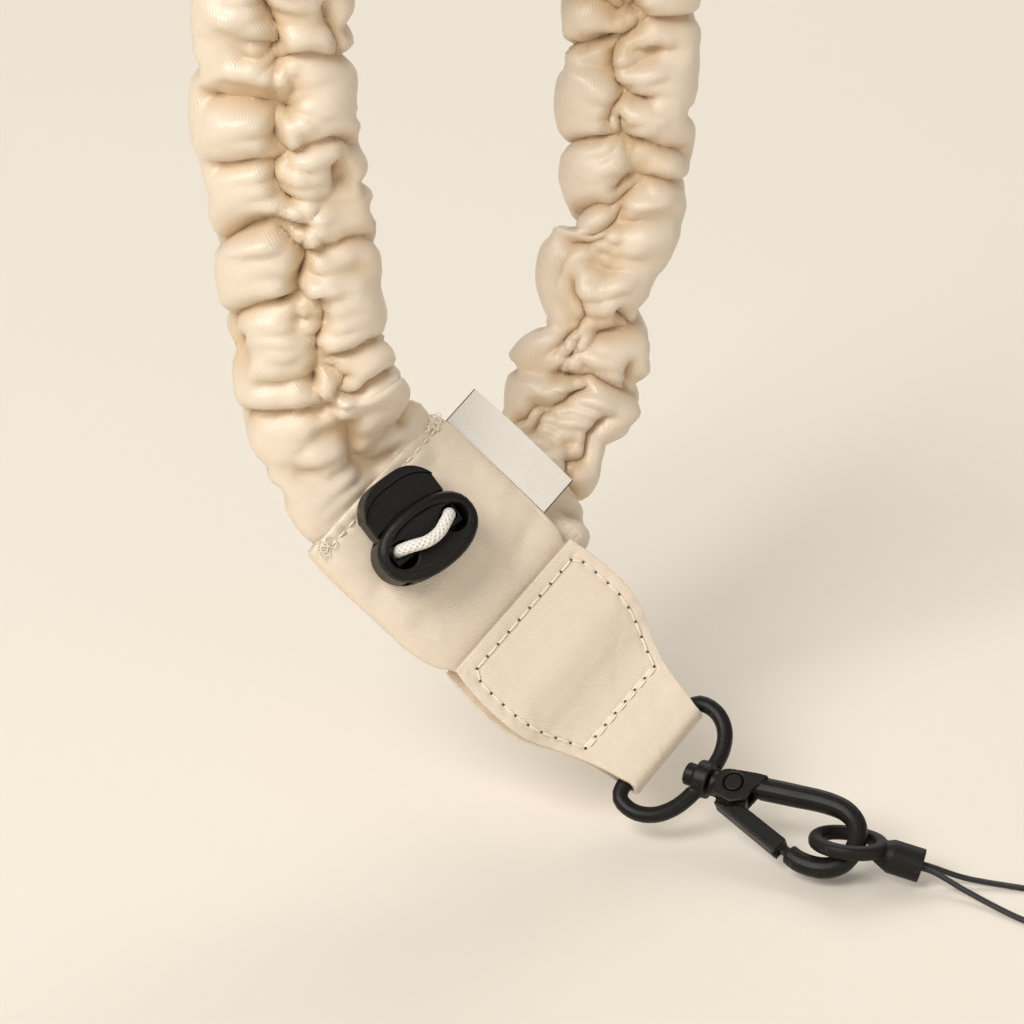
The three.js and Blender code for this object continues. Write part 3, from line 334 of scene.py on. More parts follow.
FOLDS = {  # each kind's lines over the cloth: mm round from the front's middle, mm along from the panel
    "crease": [
        [(-1.5, 97.3), (1.2, 91.4), (1.5, 89.6), (-0.7, 88)], [(-12.2, 79.1), (-3.8, 78.9), (3.2, 77.8)],
        [(0.5, 76.2), (-0.2, 73.3), (1.2, 71.9), (2.5, 70.3)],
        [(-12, 70), (-9, 70), (-4.2, 70.3), (-0.7, 69.5), (2, 69.5)],
        [(-1, 69.2), (-1.7, 66.3), (-1.2, 63.9), (0.5, 62)],
        [(0.7, 86.1), (3.2, 87.4), (7.5, 87.4), (13.8, 86.6), (16.5, 86.4)],
        [(10.2, 95.4), (11.2, 92), (12.8, 89), (13.5, 87.2)],
        [(3.2, 70.3), (7, 71.1), (10.2, 71.1), (13.8, 69.8), (16.8, 68.2)], [(10, 66), (9.5, 63.4), (12, 63.4)],
        [(-15.8, 55.1), (-12.2, 56.4), (-7.8, 57.8), (-3, 58.6), (-0.2, 57.2), (2.2, 56.9)],
        [(-2.5, 56.9), (-1.2, 54.8), (1, 53.2)], [(1.5, 52.1), (5, 52.9), (9.5, 53.7), (14.5, 53.2), (16.8, 52.7)],
        [(-15.8, 40.6), (-14, 41.4), (-7.5, 43.6), (-3.3, 44.4), (0.2, 45.2)],
        [(2, 51.1), (0.5, 49.2), (-0.5, 46.8), (0.5, 45.5)], [(3.7, 43.8), (4.5, 41.7), (4.3, 39), (2.5, 36.4)],
        [(1.7, 32.6), (5.3, 32.6), (8.8, 32.9), (11.7, 33.7), (16.8, 33.2)], [(2.2, 34.8), (1.7, 31.5), (0, 28.6)],
        [(-15.8, 25.1), (-12.5, 25.4), (-5.2, 24.9), (-1, 24.1), (2, 24.3)],
        [(1.5, 30.7), (4.5, 30.7), (6, 29.1), (5.3, 27.5), (4, 26.5)],
        [(4, 26.2), (6.5, 24.6), (9, 26.7), (13.3, 27.3), (16.8, 26.5)], [(2.7, 18.7), (0.7, 15.5), (-0.7, 13.1)],
        [(-0.7, 13.1), (-0.2, 10.2), (1.5, 8.8), (4.8, 8)], [(10.2, 12.3), (13.8, 15), (16, 16)],
        [(-16.5, 247.3), (-18.5, 246.5), (-26, 244.6), (-29.5, 243.8), (-31, 244.1), (31.8, 242.5), (28.2, 240.4)],
        [(-30, 236.9), (-31.8, 238.8), (32, 239.6)], [(-31, 244.1), (-28.2, 247.6), (-29.2, 251.9), (-30.8, 254)],
        [(-30.8, 254), (32, 255.3), (28.2, 255.9)], [(-31.8, 255.3), (-29.2, 258), (-28.8, 260.4)],
        [(-16.5, 264.4), (-20, 263.6), (-25.2, 262.8), (-31, 262.6), (30.3, 263.6), (24.8, 265.2), (18.7, 266)],
        [(-31.5, 259.6), (-31, 262.6)], [(-30.8, 272.2), (-32, 270.6), (30.8, 270), (24.2, 270.6), (17, 271.4)],
        [(-16.5, 278.6), (-20, 277.5), (-25.8, 276.2), (-29.2, 276.2), (-32.5, 274.3), (30.5, 272.2), (28.2, 271.6)],
        [(-25, 283.1), (-27.2, 281.3), (-30.2, 279.1), (-32.5, 277)],
        [(-22.3, 287.7), (-26, 285.8), (-28.2, 283.4)], [(-26, 293.6), (-28.8, 296), (-29.8, 297.3)],
        [(31.5, 301.1), (25.2, 299.7), (19.5, 298.6), (17, 297)],
        [(-26.5, 305.1), (-26.5, 302.9), (-27.8, 301.1), (-30, 298.4)],
        [(-28.8, 310.1), (-31.8, 310.4), (29.3, 308.8), (26, 309.9), (21.8, 311.2), (17, 312)],
        [(-21.8, 323.2), (-24, 322.2), (-25, 319.2), (-29.5, 318.4), (-33, 313.9), (30.5, 311.5)],
        [(-28, 323.5), (-27.8, 321.1), (-28.8, 319.8)],
        [(26.2, 328.1), (22.3, 326.5), (22.5, 324), (24.5, 319.5), (25, 316.8)],
        [(27.2, 328.3), (25.2, 330.7), (21, 332.3), (15.5, 332.3)], [(26.2, 296), (22.5, 297), (19.5, 298.6)],
        [(22.8, 304.8), (20.5, 307.5), (19.5, 311.2)],
    ],
    "dent": [
        [(-9.5, 90.1), (-4.7, 90.4), (-0.7, 88.5)], [(-6.8, 86.4), (-3.3, 87.4)],
        [(-12.5, 79.9), (-8.5, 82.6), (-4.7, 81), (-0.7, 79.7), (3.2, 78.6)],
        [(-0.5, 94.9), (3.5, 93.8), (6.5, 92.5), (10.2, 91.2)], [(3.7, 84.8), (4.5, 81), (3.5, 78.3)],
        [(9, 66.3), (11.2, 66), (13.3, 66.6)], [(3.7, 62.3), (7.8, 59.9), (12.8, 58.3)],
        [(-13.2, 57.2), (-7.5, 58.8), (-3.3, 59.9)], [(0, 48.9), (3, 49.5)],
        [(5.8, 46.8), (10.5, 48.4), (14.3, 46.8)], [(-0.5, 42.2), (1.2, 39.3)], [(-12.5, 38.2), (-11, 36.6)],
        [(-15.8, 33.4), (-12.2, 34.2), (-9.2, 34.8)], [(-10, 31), (-5.5, 29.7), (-0.7, 30.5)],
        [(9.2, 15.5), (5.8, 13.1), (2, 12.3)], [(-5, 19.8), (-1.7, 19), (2, 18.7)], [(-10.8, 16.6), (-6, 13.4)],
        [(-14.8, 37.2), (-12.5, 37.7)], [(-23.5, 243.3), (-29, 240.6), (32.2, 240.4)],
        [(-22.3, 249.5), (-27, 250.8), (-28.2, 248.6)], [(32.5, 250), (29.3, 247.6), (24.8, 245.7)],
        [(-33, 266), (31, 266.8), (27.2, 268.4)], [(-31.2, 281.5), (29, 278.9), (20.5, 278.1)],
        [(-27.5, 286.9), (-29.2, 288), (-31, 284.7)],
        [(-26.8, 290.9), (-32.5, 289.8), (29.8, 287.1), (22.8, 284.5)], [(-21.5, 291.2), (-23.2, 292.2)],
        [(-21.8, 296.2), (-25.8, 298.6), (-24.2, 301.6)], [(32.8, 299.4), (28, 298.6), (22.8, 296.8)],
        [(-20, 310.7), (-25.5, 309.9), (-29.5, 309.6)], [(-23.8, 325.4), (-29.2, 325.6)],
        [(24.5, 330.2), (20.2, 330.7)], [(25.8, 340.4), (22.3, 342.2), (16.5, 341.4)], [(31.2, 325.1), (25.8, 324)],
    ],
    "ridge": [
        [(-10.2, 95.7), (-7.3, 94.4), (-3.8, 92.8), (0.5, 91.7)],
        [(-7, 89.8), (-4.5, 88.8), (-1.7, 88.2), (0, 86.1)], [(-12.2, 81.5), (-8.5, 84.2), (-4, 85), (-1.7, 84.2)],
        [(-10, 75.4), (-4.2, 75.9), (0.7, 76.7)], [(2.2, 91.7), (7.8, 90.6), (11.2, 89.3)],
        [(2, 85), (4.8, 86.6), (12.2, 85.8)], [(2, 69), (7.3, 69.5), (12, 69)],
        [(-2.5, 61.5), (1.5, 59.1), (2.5, 57.8)], [(-11.8, 53.5), (-5.5, 54.8), (-1.7, 54)],
        [(1.5, 46.3), (5.8, 46), (12.2, 46.8)], [(-10.5, 31.8), (-8.2, 33.2), (-5.5, 32.6)],
        [(-10.5, 28.3), (-5, 27.5), (-1, 27.3)], [(-7.8, 17.6), (-4.2, 16), (-0.7, 15.5)],
        [(4.3, 24.3), (7.5, 20.9), (13.8, 20.6)], [(-20.8, 252.1), (-25.2, 253.5), (-28.5, 255.1)],
        [(-32, 252.4), (30, 251.6), (26.2, 249.2)], [(-31.5, 258), (30.5, 259.3), (26, 259.3)],
        [(-25.5, 271.1), (-29.5, 268.2), (30.5, 267.9)], [(-32.8, 277.8), (27.5, 275.1), (22.8, 274)],
        [(-26.2, 285), (-32.5, 282.3), (22, 281.3)], [(-27.5, 292.8), (32.2, 292.2), (25.8, 288.5)],
        [(-28.2, 315), (-31, 311.5), (31.2, 310.7)], [(-31.2, 316.6), (29.5, 313.1), (26, 313.9)],
    ],
    "tuck": [
        [(0.5, 86.4)], [(3.2, 77.5)], [(2.5, 70)], [(2.7, 56.9)], [(1.7, 51.9)], [(0.5, 45.2)], [(2.2, 34.2)],
        [(4, 26.7)], [(1.7, 24.3)], [(-31, 262.6)], [(-30, 303.5)], [(-30.2, 306.4)],
    ],
}
SWAY = np.array([
    # mm along, then how far the left and right sides of the back strand stand towards the right there, in mm
    (255, 0.0, 0.0), (273, 0.9, -0.9), (281, 3.0, -0.6), (286, -1.2, -3.2), (290.5, -1.0, -2.9), (295, 0.8, -4.2),
    (300.5, 4.0, 0.4), (304.5, 2.0, 0.9), (309, -1.0, -1.8), (314, 0.7, 1.8), (321, 1.8, -3.3), (327, 0.0, -1.9),
    (335, 0.0, -2.2), (345, 0.0, 0.0),
])
SLEEVE_LINE, SLEEVE_LENGTH = curve_through(sleeve_rows(), 1200)
CLOTH_ROUND = 66.0   # mm of cloth round the sleeve
FOLD_SIZES = {"crease": (2.9, 0.75), "dent": (2.2, 2.6), "ridge": (1.3, 1.1), "tuck": (3.1, 1.4)}  # depth, width in mm
FOLD_REACH = 12      # mm along the sleeve past which a fold is not felt
SLOPE_WIDTH = 3.0    # mm over which the cloth slopes down towards a crease
RAY_START, RAY_REACH = 1.5, 5.5  # mm from a tuck between which its small pleats stand
PUFF_SLOPE = 2.1     # mm from a crease over which a puff rises
LIP = {"at": 2.3, "width": 1.15, "height": 0.5}  # the rolled lip beside a crease, in mm
HOLLOW = {"width": 6.5, "depth": 0.25}           # how a puff sinks past its lip, in mm
OVAL = {"width": 0.95, "depth": 0.86}            # shares of the half sizes that the oval takes under its puffs
THINNEST = 1.9       # mm that the cloth keeps from the sleeve's middle, clear of the drawcord
ROWS_LAID = [(0, 1), (108, 1), (125, 0.55), (200, 0.55), (215, 1)]  # mm along, and how closely the rings stand
PUFF_HEIGHT = 1.7    # mm that the cloth stands up between its creases
PINCH = 0.35         # mm that the cloth closes over its creases on a slope of one
DROOP = 0.2          # mm that a puff hangs down over the crease below it, for each mm that it stands out
SEAM_DEPTH = 1.0     # mm that the seam between the two channels lies low
# small pleats, in mm, but for the number of rays
GATHERS = {"pitch": 3.3, "height": 0.36, "reach": 5.5, "rays": 7, "ray_height": 0.62}


def along_sleeve(places):
    """Centre, width direction, outward direction, half width and half depth at places in mm along the sleeve."""
    run = np.linspace(0, SLEEVE_LENGTH, len(SLEEVE_LINE))
    row = np.stack([np.interp(places, run, SLEEVE_LINE[:, k]) for k in range(8)], -1)
    ahead = unit(np.gradient(SLEEVE_LINE[:, :3], axis=0))
    ahead = unit(np.stack([np.interp(places, run, ahead[:, k]) for k in range(3)], -1))
    out = unit(np.cross(row[..., 3:6], ahead))
    return row[..., :3], unit(np.cross(ahead, out)), out, row[..., 6], row[..., 7]


def eased(values, low, high):
    """0 below low and 1 above high, with a smooth turn between: 3 t^2 - 2 t^3."""
    t = np.clip((values - low) / (high - low), 0, 1)
    return t * t * (3 - 2 * t)


def boxed(values, power):
    """Values of -1 to 1 raised to a power with their signs kept: below 1 it makes an oval squarer."""
    return np.sign(values) * np.abs(values) ** power


def round_oval(sides, half, depth):
    """Even places in mm round the cloth from its front middle, and the turn from the front at each on an oval."""
    fine = np.linspace(-np.pi, np.pi, 2001)
    run = np.concatenate([[0], np.cumsum(np.hypot(np.diff(np.sin(fine) * half), np.diff(np.cos(fine) * depth)))])
    share = np.arange(sides) / sides - 0.5
    return share * CLOTH_ROUND, np.interp(share, run / run[-1] - 0.5, fine)


def short_way(round_):
    """A distance round the cloth, taken the short way: between minus a half and a half of its girth."""
    return (round_ + CLOTH_ROUND / 2) % CLOTH_ROUND - CLOTH_ROUND / 2


def near_line(bed, line):
    """Distance in mm over the cloth from each place to the nearest point of a line, and how far along the line that
    is, 0 to 1. A place is projected on each stretch of the line, the short way round the cloth."""
    line = np.asarray(line, float)
    line[:, 0] = np.unwrap(line[:, 0], period=CLOTH_ROUND)
    if len(line) == 1:
        line = np.vstack([line, line + 0.01])
    nearest, share = np.full(bed.shape[:-1], 1e9), np.zeros(bed.shape[:-1])
    for k, (start, end) in enumerate(zip(line[:-1], line[1:])):
        off = bed - start
        off[..., 0] = short_way(off[..., 0])
        along = end - start
        t = np.clip((off @ along) / max(along @ along, 1e-9), 0, 1)
        gap = np.linalg.norm(off - t[..., None] * along, axis=-1)
        share = np.where(gap < nearest, (k + t) / (len(line) - 1), share)
        nearest = np.minimum(nearest, gap)
    return nearest, share


def even_folds(chance, low, high, middle):
    """Folds for one face of the sleeve between two places along it: tucks down the seam at uneven steps, and from each
    tuck a crease out over both columns, with dents and ridges on the puffs between them. middle is the face's seam."""
    rows, seam = [], low

    def out(nearest, farthest):
        return middle + side * chance.uniform(nearest, farthest)

    while seam < high:
        at_seam = middle + chance.uniform(-1.2, 1.2)
        rows.append(("tuck", [(at_seam, seam)]))
        for side in (-1, 1):
            at, rise = seam + chance.uniform(-3.2, 3.2), chance.uniform(-3.5, 3.5)
            bowed = at + rise / 2 + chance.uniform(-1.5, 1.5)
            over_puffs = [(middle + side * 4, at), (middle + side * 9, bowed), (out(14.5, 18.5), at + rise)]
            rows.append(("crease", [(at_seam, seam), *over_puffs]))
            puff = at + chance.uniform(4, 6)
            rows.append(("dent", [(out(1, 5), puff), (out(7, 12), puff + chance.uniform(-1.5, 1.5))]))
            rows.append(("ridge", [(out(1, 3), puff - 2.5), (out(8, 12), puff - 2.2 + rise / 2)]))
            if chance.random() < 0.5:
                rows.append(("crease", [(out(9, 12), puff + 1), (out(14, 16), puff + chance.uniform(-1, 3))]))
        seam += chance.uniform(8.5, 12)
    return rows


def fold_heights(bed, folds):
    """Height in mm of the cloth over its oval: puffs that rise from the nearest crease to a rolled lip and sink a
    little past it, less the deepest crease or tuck there, less every dent, plus every ridge. Each falls off with
    distance over its width, and a tuck sends out small pleats as rays."""
    dents, creases, near = np.zeros(bed.shape[:-1]), np.zeros(bed.shape[:-1]), np.full(bed.shape[:-1], 9.0)
    for kind, line in folds:
        places = [p[1] for p in line]
        rows = (bed[:, 0, 1] > min(places) - FOLD_REACH) & (bed[:, 0, 1] < max(places) + FOLD_REACH)
        if not rows.any():
            continue
        gap, share = near_line(bed[rows], line)
        deep, wide = FOLD_SIZES[kind]
        if kind == "crease":
            near[rows] = np.minimum(near[rows], gap)
            sides = 0.5 * np.exp(-gap / wide) + 0.5 * np.exp(-(gap / SLOPE_WIDTH) ** 2)
            creases[rows] = np.maximum(creases[rows], deep * sides)
        elif kind == "tuck":
            creases[rows] = np.maximum(creases[rows], deep * np.exp(-(gap / wide) ** 2))
            round_, along = ((bed[rows] - line[0])[..., k] for k in (0, 1))
            round_ = short_way(round_)
            rays = np.cos(GATHERS["rays"] * np.arctan2(along, round_) + line[0][1])
            fade = np.exp(-(gap / RAY_REACH) ** 2) * (1 - np.exp(-(gap / RAY_START) ** 2))
            dents[rows] += GATHERS["ray_height"] * rays * fade
        else:
            fade = np.sin(np.pi * (share * 0.8 + 0.1)) ** 0.7
            dents[rows] += (-deep if kind == "ridge" else deep) * np.exp(-(gap / wide) ** 2) * fade
    lips = LIP["height"] * np.exp(-(((near - LIP["at"]) / LIP["width"]) ** 2))
    lips -= HOLLOW["depth"] * (1 - np.exp(-((near / HOLLOW["width"]) ** 2)))
    return PUFF_HEIGHT * (1 - np.exp(-near / PUFF_SLOPE)) + lips - creases - dents


def held_in_tab(cloth):
    """The back end pressed flat between the tab's plies: past the tab's edge its height over the tab is drawn in to
    a limit that falls from free to the inside of a ply over 4 mm."""
    mm = (cloth - TAB_PLACE) @ TAB_AXES.T
    inside = eased(mm[..., 0], -41.5, -37.5) * (np.abs(mm[..., 1]) < 19)
    limit = np.interp(mm[..., 0], [-38, -24, -17, -10], [2.2, 2.2, 0.6, 0.3])
    mm[..., 2] += inside * (limit * np.tanh(mm[..., 2] / limit) - mm[..., 2])
    mm[..., 1] += inside * (np.clip(mm[..., 1], -14.8, 14.8) - mm[..., 1])
    return on_tab(mm)


def ruched_cloth(rows, sides):
    """The sleeve as a grid of places in metres. Each ring is an oval across the sleeve's line, raised and sunk by the
    fold heights, and drawn down each slope so that the puffs close over their creases."""
    chance = np.random.default_rng(5)
    fine = np.linspace(0, SLEEVE_LENGTH, 2000)
    density = np.interp(fine, *zip(*ROWS_LAID))
    run = np.cumsum(density) - density[0]
    places = np.interp(np.linspace(0, run[-1], rows), run, fine)
    around, turn = round_oval(sides, 14, 8)
    half, depth = (part[:, None] for part in along_sleeve(places)[3:])
    full = eased(places, -1, 8)[:, None] * eased(SLEEVE_LENGTH - places, 8, 30)[:, None]
    bed = np.stack(np.broadcast_arrays(around[None], places[:, None]), -1)
    back = CLOTH_ROUND / 2
    hidden = even_folds(chance, 12, SLEEVE_LENGTH - 128, back) + even_folds(chance, 104, SLEEVE_LENGTH - 20, 0.0)
    seen = [(kind, line) for kind, lines in FOLDS.items() for line in lines]
    height = fold_heights(bed, seen + hidden)
    height -= SEAM_DEPTH * (np.exp(-(around / 2.4) ** 2) + np.exp(-((np.abs(around) - back) / 2.4) ** 2))
    from_seam = np.minimum(np.abs(around), back - np.abs(around))
    wander = 2 * np.pi * (places[:, None] + 1.1 * np.sin(places[:, None] / 5.3 + around / 7)) / GATHERS["pitch"]
    pleats = np.sin(wander + 1.3 * np.sin(around / 3.1))
    height += GATHERS["height"] * pleats * np.exp(-((from_seam - 2.2) / GATHERS["reach"]) ** 2)
    height[1:-1] = height[1:-1] * 0.7 + (height[2:] + height[:-2]) * 0.15
    height = np.maximum(height * full, THINNEST - OVAL["depth"] * depth)
    slope_along = np.gradient(height, axis=0) / np.gradient(places)[:, None]
    slope_round = (np.roll(height, -1, 1) - np.roll(height, 1, 1)) * sides / (2 * CLOTH_ROUND)
    shift_along, shift_round = (-PINCH * np.clip(slope, -1.2, 1.2) for slope in (slope_along, slope_round))
    rise = np.gradient(along_sleeve(places)[0][..., 2].ravel(), places)[:, None]
    shift_along = shift_along - DROOP * rise * np.clip(height + 1, -2, 2) * full
    across, out = np.sin(turn) * half * OVAL["width"], boxed(np.cos(turn), 0.85) * depth * OVAL["depth"]
    oval = np.stack(np.broadcast_arrays(across, out), -1)
    outward = unit(np.stack([np.sin(turn) / half, np.cos(turn) / depth], -1))
    onward = np.stack([outward[..., 1], -outward[..., 0]], -1)
    # sunk is 1 where the cloth lies low between the puffs: the mask for the painted shade in the satin's creases
    sunk = 1 - eased(height, -2.4, 1.3)
    flat = oval + outward * height[..., None] + onward * shift_round[..., None]
    left, right = (np.interp(places, SWAY[:, 0], side)[:, None] for side in SWAY[:, 1:].T)
    flat[..., 0] += np.where(np.sin(turn) > 0, right, left) * np.abs(np.sin(turn)) ** 1.3
    centre, width, out = along_sleeve(np.clip(places[:, None] + shift_along, 0, SLEEVE_LENGTH))[:3]
    cloth = centre + width * flat[..., :1] + out * flat[..., 1:]
    return held_in_tab(cloth) / 1000, sunk


SLEEVE_ROWS, SLEEVE_SIDES = 560, 88
sleeve_grid, sleeve_crease_shade = ruched_cloth(SLEEVE_ROWS, SLEEVE_SIDES)


def cloth_wrap(grid):
    """A UV map in mm that follows the cloth: the run along each column and the run round each row, both averaged over
    the whole piece so that the weave stays square."""
    mm = np.concatenate([grid, grid[:, :1]], 1) * 1000
    along = np.concatenate([[0], np.cumsum(np.linalg.norm(np.diff(mm, axis=0), axis=-1).mean(1))])
    round_ = np.concatenate([[0], np.cumsum(np.linalg.norm(np.diff(mm, axis=1), axis=-1).mean(0))])
    return np.stack(np.meshgrid(round_, along), -1)


def sums(tree, operation, *values, **settings):
    """One sum on numbers or sockets, such as MULTIPLY_ADD: the first times the second, plus the third."""
    return node(tree, "Math", list(enumerate(values)), operation=operation, **settings).outputs[0]


def mixed(tree, share, first, second, blend="MIX"):
    """A colour between two, by a share of 0 to 1."""
    inputs = [("Factor", share), (6, first), (7, second)]
    return node(tree, "Mix", inputs, data_type="RGBA", blend_type=blend).outputs[2]


CREAM = (0.80, 0.685, 0.56)
TWILL_PITCH, TWILL_SLANT = 0.42, -0.42  # mm from rib to rib, and their turn over the cloth in radians


def satin(name):
    """Cream polyester satin: fine twill ribs by the UV map in mm, a soft sheen, and faint uneven tone along the
    threads. The sunk attribute paints shade into its colour where the cloth lies low between the puffs: a darker,
    warmer tone multiplied in over the creases."""
    material, tree, shader = finish_of(
        name, CREAM, 0.36, Sheen_Weight=0.3, Sheen_Roughness=0.4, Specular_IOR_Level=0.75, Anisotropic=0.3,
    )
    shader.inputs["Sheen Tint"].default_value = (1.0, 0.95, 0.86, 1)
    place = cloth_place(tree)
    twill = cloth_place(tree, TWILL_SLANT, 1 / TWILL_PITCH)
    ribs = waves(tree, twill, 0.314, 0.6, more=[("Detail", 1.0), ("Detail Scale", 2.0)])
    crossing = sums(tree, "MULTIPLY", ribs, waves(tree, twill, 0.5, 0.5, "Y"))
    weave = sums(tree, "MULTIPLY_ADD", crossing, 0.4, ribs)
    slub = sums(tree, "MULTIPLY", noise(tree, place, 0.35, 4.0), 0.1)
    deep = (CREAM[0] * 0.86, CREAM[1] * 0.84, CREAM[2] * 0.79, 1)
    pale = (*(min(1, part * 1.22) for part in CREAM), 1)
    tone = mixed(tree, sums(tree, "MULTIPLY_ADD", weave, 0.17, slub), deep, pale)
    # painted shade in the creases: the sunk attribute multiplies a darker, warmer colour in where the cloth lies low
    sunk = node(tree, "Attribute", attribute_name="sunk").outputs["Fac"]
    shade = mixed(tree, sunk, (1, 1, 1, 1), (0.84, 0.73, 0.58, 1))
    tree.links.new(mixed(tree, 1.0, tone, shade, "MULTIPLY"), shader.inputs["Base Color"])
    crumple = noise(tree, place, 0.1, 2.0, Roughness=0.5, Distortion=0.5)
    ribbed = raised(tree, weave, 0.25, 0.00012)
    tree.links.new(raised(tree, crumple, 0.5, 0.0011, ribbed), shader.inputs["Normal"])
    return material


SATIN = satin("satin")
sleeve = placed("sleeve", grid_mesh("sleeve", sleeve_grid, close_round=True, wrap=cloth_wrap(sleeve_grid)))
sleeve.data.materials.append(SATIN)
# the sunk attribute carries the painted crease shade to the satin
sleeve.data.attributes.new("sunk", "FLOAT", "POINT").data.foreach_set("value", sleeve_crease_shade.ravel())
wall = sleeve.modifiers.new("wall", "SOLIDIFY")
wall.thickness, wall.offset = 0.0005, -1
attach(sleeve, "strap")
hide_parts("ruched_sleeve")

# ---------- cord panel: a short flat double sleeve of the same satin, lightly padded ----------
# The ruched sleeve is sewn into its open mouth with running stitches, and the drawcord comes out of its front wall
# under the cord lock. Its other end lies between the tab's two plies.
PANEL_ROWS = np.array([
    # x, y, z on the tab, half width, half depth
    (-26.0, 0.0, 1.3, 14.5, 1.15), (-37.6, -0.2, 1.3, 15.9, 1.15), (-40.5, -0.6, 1.5, 17.3, 1.7),
    (-46.0, -1.1, 1.9, 18.1, 2.5), (-55.0, -1.2, 2.3, 18.2, 3.1), (-64.0, -1.2, 2.5, 18.2, 3.8),
    (-69.0, -1.2, 2.65, 17.9, 4.2), (-71.4, -1.2, 2.7, 17.5, 4.2), (-71.9, -1.2, 2.7, 17.0, 3.8),
    (-71.2, -1.2, 2.7, 16.6, 3.4), (-66.0, -1.2, 2.6, 16.4, 3.0),
])
PANEL_FOLDS = [
    # x, y of one end, x, y of the other, depth, width, in mm: where the padding gives under the lock and at the tab
    (-48.0, -14.0, -46.0, 2.0, 0.5, 2.6), (-43.5, 6.0, -45.0, 16.0, 0.6, 2.0), (-66.0, 8.0, -60.0, 13.0, 0.55, 2.2),
    (-57.0, -17.5, -60.0, -8.0, 0.7, 2.2), (-70.0, -12.0, -65.0, -6.0, 0.55, 1.6), (-70.0, 3.0, -64.5, 1.0, 0.5, 1.5),
    (-70.5, 12.0, -66.0, 10.0, 0.5, 1.3), (-52.0, 13.0, -49.0, 17.0, 0.5, 1.6), (-50.0, 9.0, -53.0, 14.0, -0.35, 1.8),
    (-51.0, -16.0, -50.0, -6.0, -0.35, 2.0), (-66.0, -17.0, -62.5, -12.0, -0.4, 1.6),
    (-68.0, 6.5, -63.0, 6.0, -0.35, 1.3),
]


def panel_grid(rows, sides):
    """Soft flat ovals along the tab's x, with shallow folds pressed into the front and small puckers at the mouth."""
    row = curve_through(PANEL_ROWS, rows)[0]
    turn = full_turn(sides)
    y, z = boxed(np.cos(turn), 0.75), boxed(np.sin(turn), 0.6)
    across, out = row[:, 1:2] + y * row[:, 3:4], row[:, 2:3] + z * row[:, 4:5]
    place = np.stack(np.broadcast_arrays(row[:, :1] + 0 * y, across, out), -1)
    sunk = np.zeros(place.shape[:2])
    for x0, y0, x1, y1, deep, wide in PANEL_FOLDS:
        start, along = np.array([x0, y0]), np.array([x1 - x0, y1 - y0])
        t = np.clip((place[..., :2] - start) @ along / (along @ along), 0, 1)
        gap = np.linalg.norm(place[..., :2] - start - t[..., None] * along, axis=-1)
        sunk += deep * np.exp(-(gap / wide) ** 2)
    at_mouth = np.exp(-((place[..., 0] + 71) / 2.2) ** 2)
    pucker = 0.22 * at_mouth * np.sin(place[..., 1] * 2.1) + 0.3 * np.exp(-((place[..., 0] + 69.6) / 0.5) ** 2)
    place[..., 2] -= np.sign(z)[None] * np.minimum(np.abs(z), 1)[None] * (sunk + pucker) * (np.abs(y) < 0.97)[None]
    return on_tab(place) / 1000


panel_points = panel_grid(150, 96)[::-1]
panel_mesh = grid_mesh("panel", panel_points, close_round=True, caps=True, wrap=cloth_wrap(panel_points))
panel = placed("panel", panel_mesh)
panel.data.materials.append(SATIN)
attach(panel, "strap")
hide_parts("cord_panel")


def thread_tubes(starts, ends, lift, radius, up):
    """One short thread for each pair of points, as rows of rings: it rises from one hole, lies on the cloth and dips
    into the next. lift is how high its middle stands, and up the direction out of the cloth."""
    t = np.linspace(0, 1, 9)
    arch = np.sin(np.pi * t) ** 0.35
    rise = up * (lift * arch - radius * 0.9 * (1 - arch))[None, :, None]
    line = starts[:, None] + (ends - starts)[:, None] * t[None, :, None] + rise
    side = unit(np.cross(up, unit(ends - starts)[:, None, None]))
    turn = full_turn(8)[None, None, :, None]
    taper = (0.6 + 0.4 * arch)[None, :, None, None]
    return line[:, :, None] + (side * np.cos(turn) + up * np.sin(turn)) * radius * taper


def stitched(name, tubes, material):
    """One mesh for a whole row of threads: each is a grid of rings with closed ends."""
    many, rows, sides = tubes.shape[:3]
    i, j = (part.ravel() for part in np.meshgrid(np.arange(rows - 1), np.arange(sides), indexing="ij"))
    right = (j + 1) % sides
    one = np.stack([i * sides + j, i * sides + right, (i + 1) * sides + right, (i + 1) * sides + j], 1)
    start = (np.arange(many) * rows * sides)[:, None, None]
    walls = (one[None] + start).reshape(-1, 4)
    ring = np.arange(sides)
    ends = np.concatenate([ring[::-1] + start[:, 0], ring + (rows - 1) * sides + start[:, 0]])
    mesh = bpy.data.meshes.new(name)
    mesh.from_pydata(tubes.reshape(-1, 3).tolist(), [], walls.tolist() + ends.tolist())
    mesh.polygons.foreach_set("use_smooth", np.ones(len(mesh.polygons), bool))
    thing = placed(name, mesh)
    thing.data.materials.append(material)
    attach(thing, "strap")
    return thing


THREAD, tree, shader = finish_of("sewing_thread", (0.86, 0.77, 0.63), 0.5, Sheen_Weight=0.3)
twist = waves(tree, object_place(tree), 1400.0, 1.0, "DIAGONAL")
tree.links.new(raised(tree, twist, 0.4, 0.00008), shader.inputs["Normal"])
# dark brown discs at the stitch holes: painted shade inside each needle hole
PRICKED = finish_of("needle_hole", (0.10, 0.065, 0.035), 0.9)[0]


def mouth_height(y):
    """Height of the panel's front over its own middle at a place across the mouth seam."""
    return 2.66 + 4.15 * np.maximum(1 - (np.abs(y + 1.2) / 18.0) ** (1 / 0.375), 0.02) ** 0.3


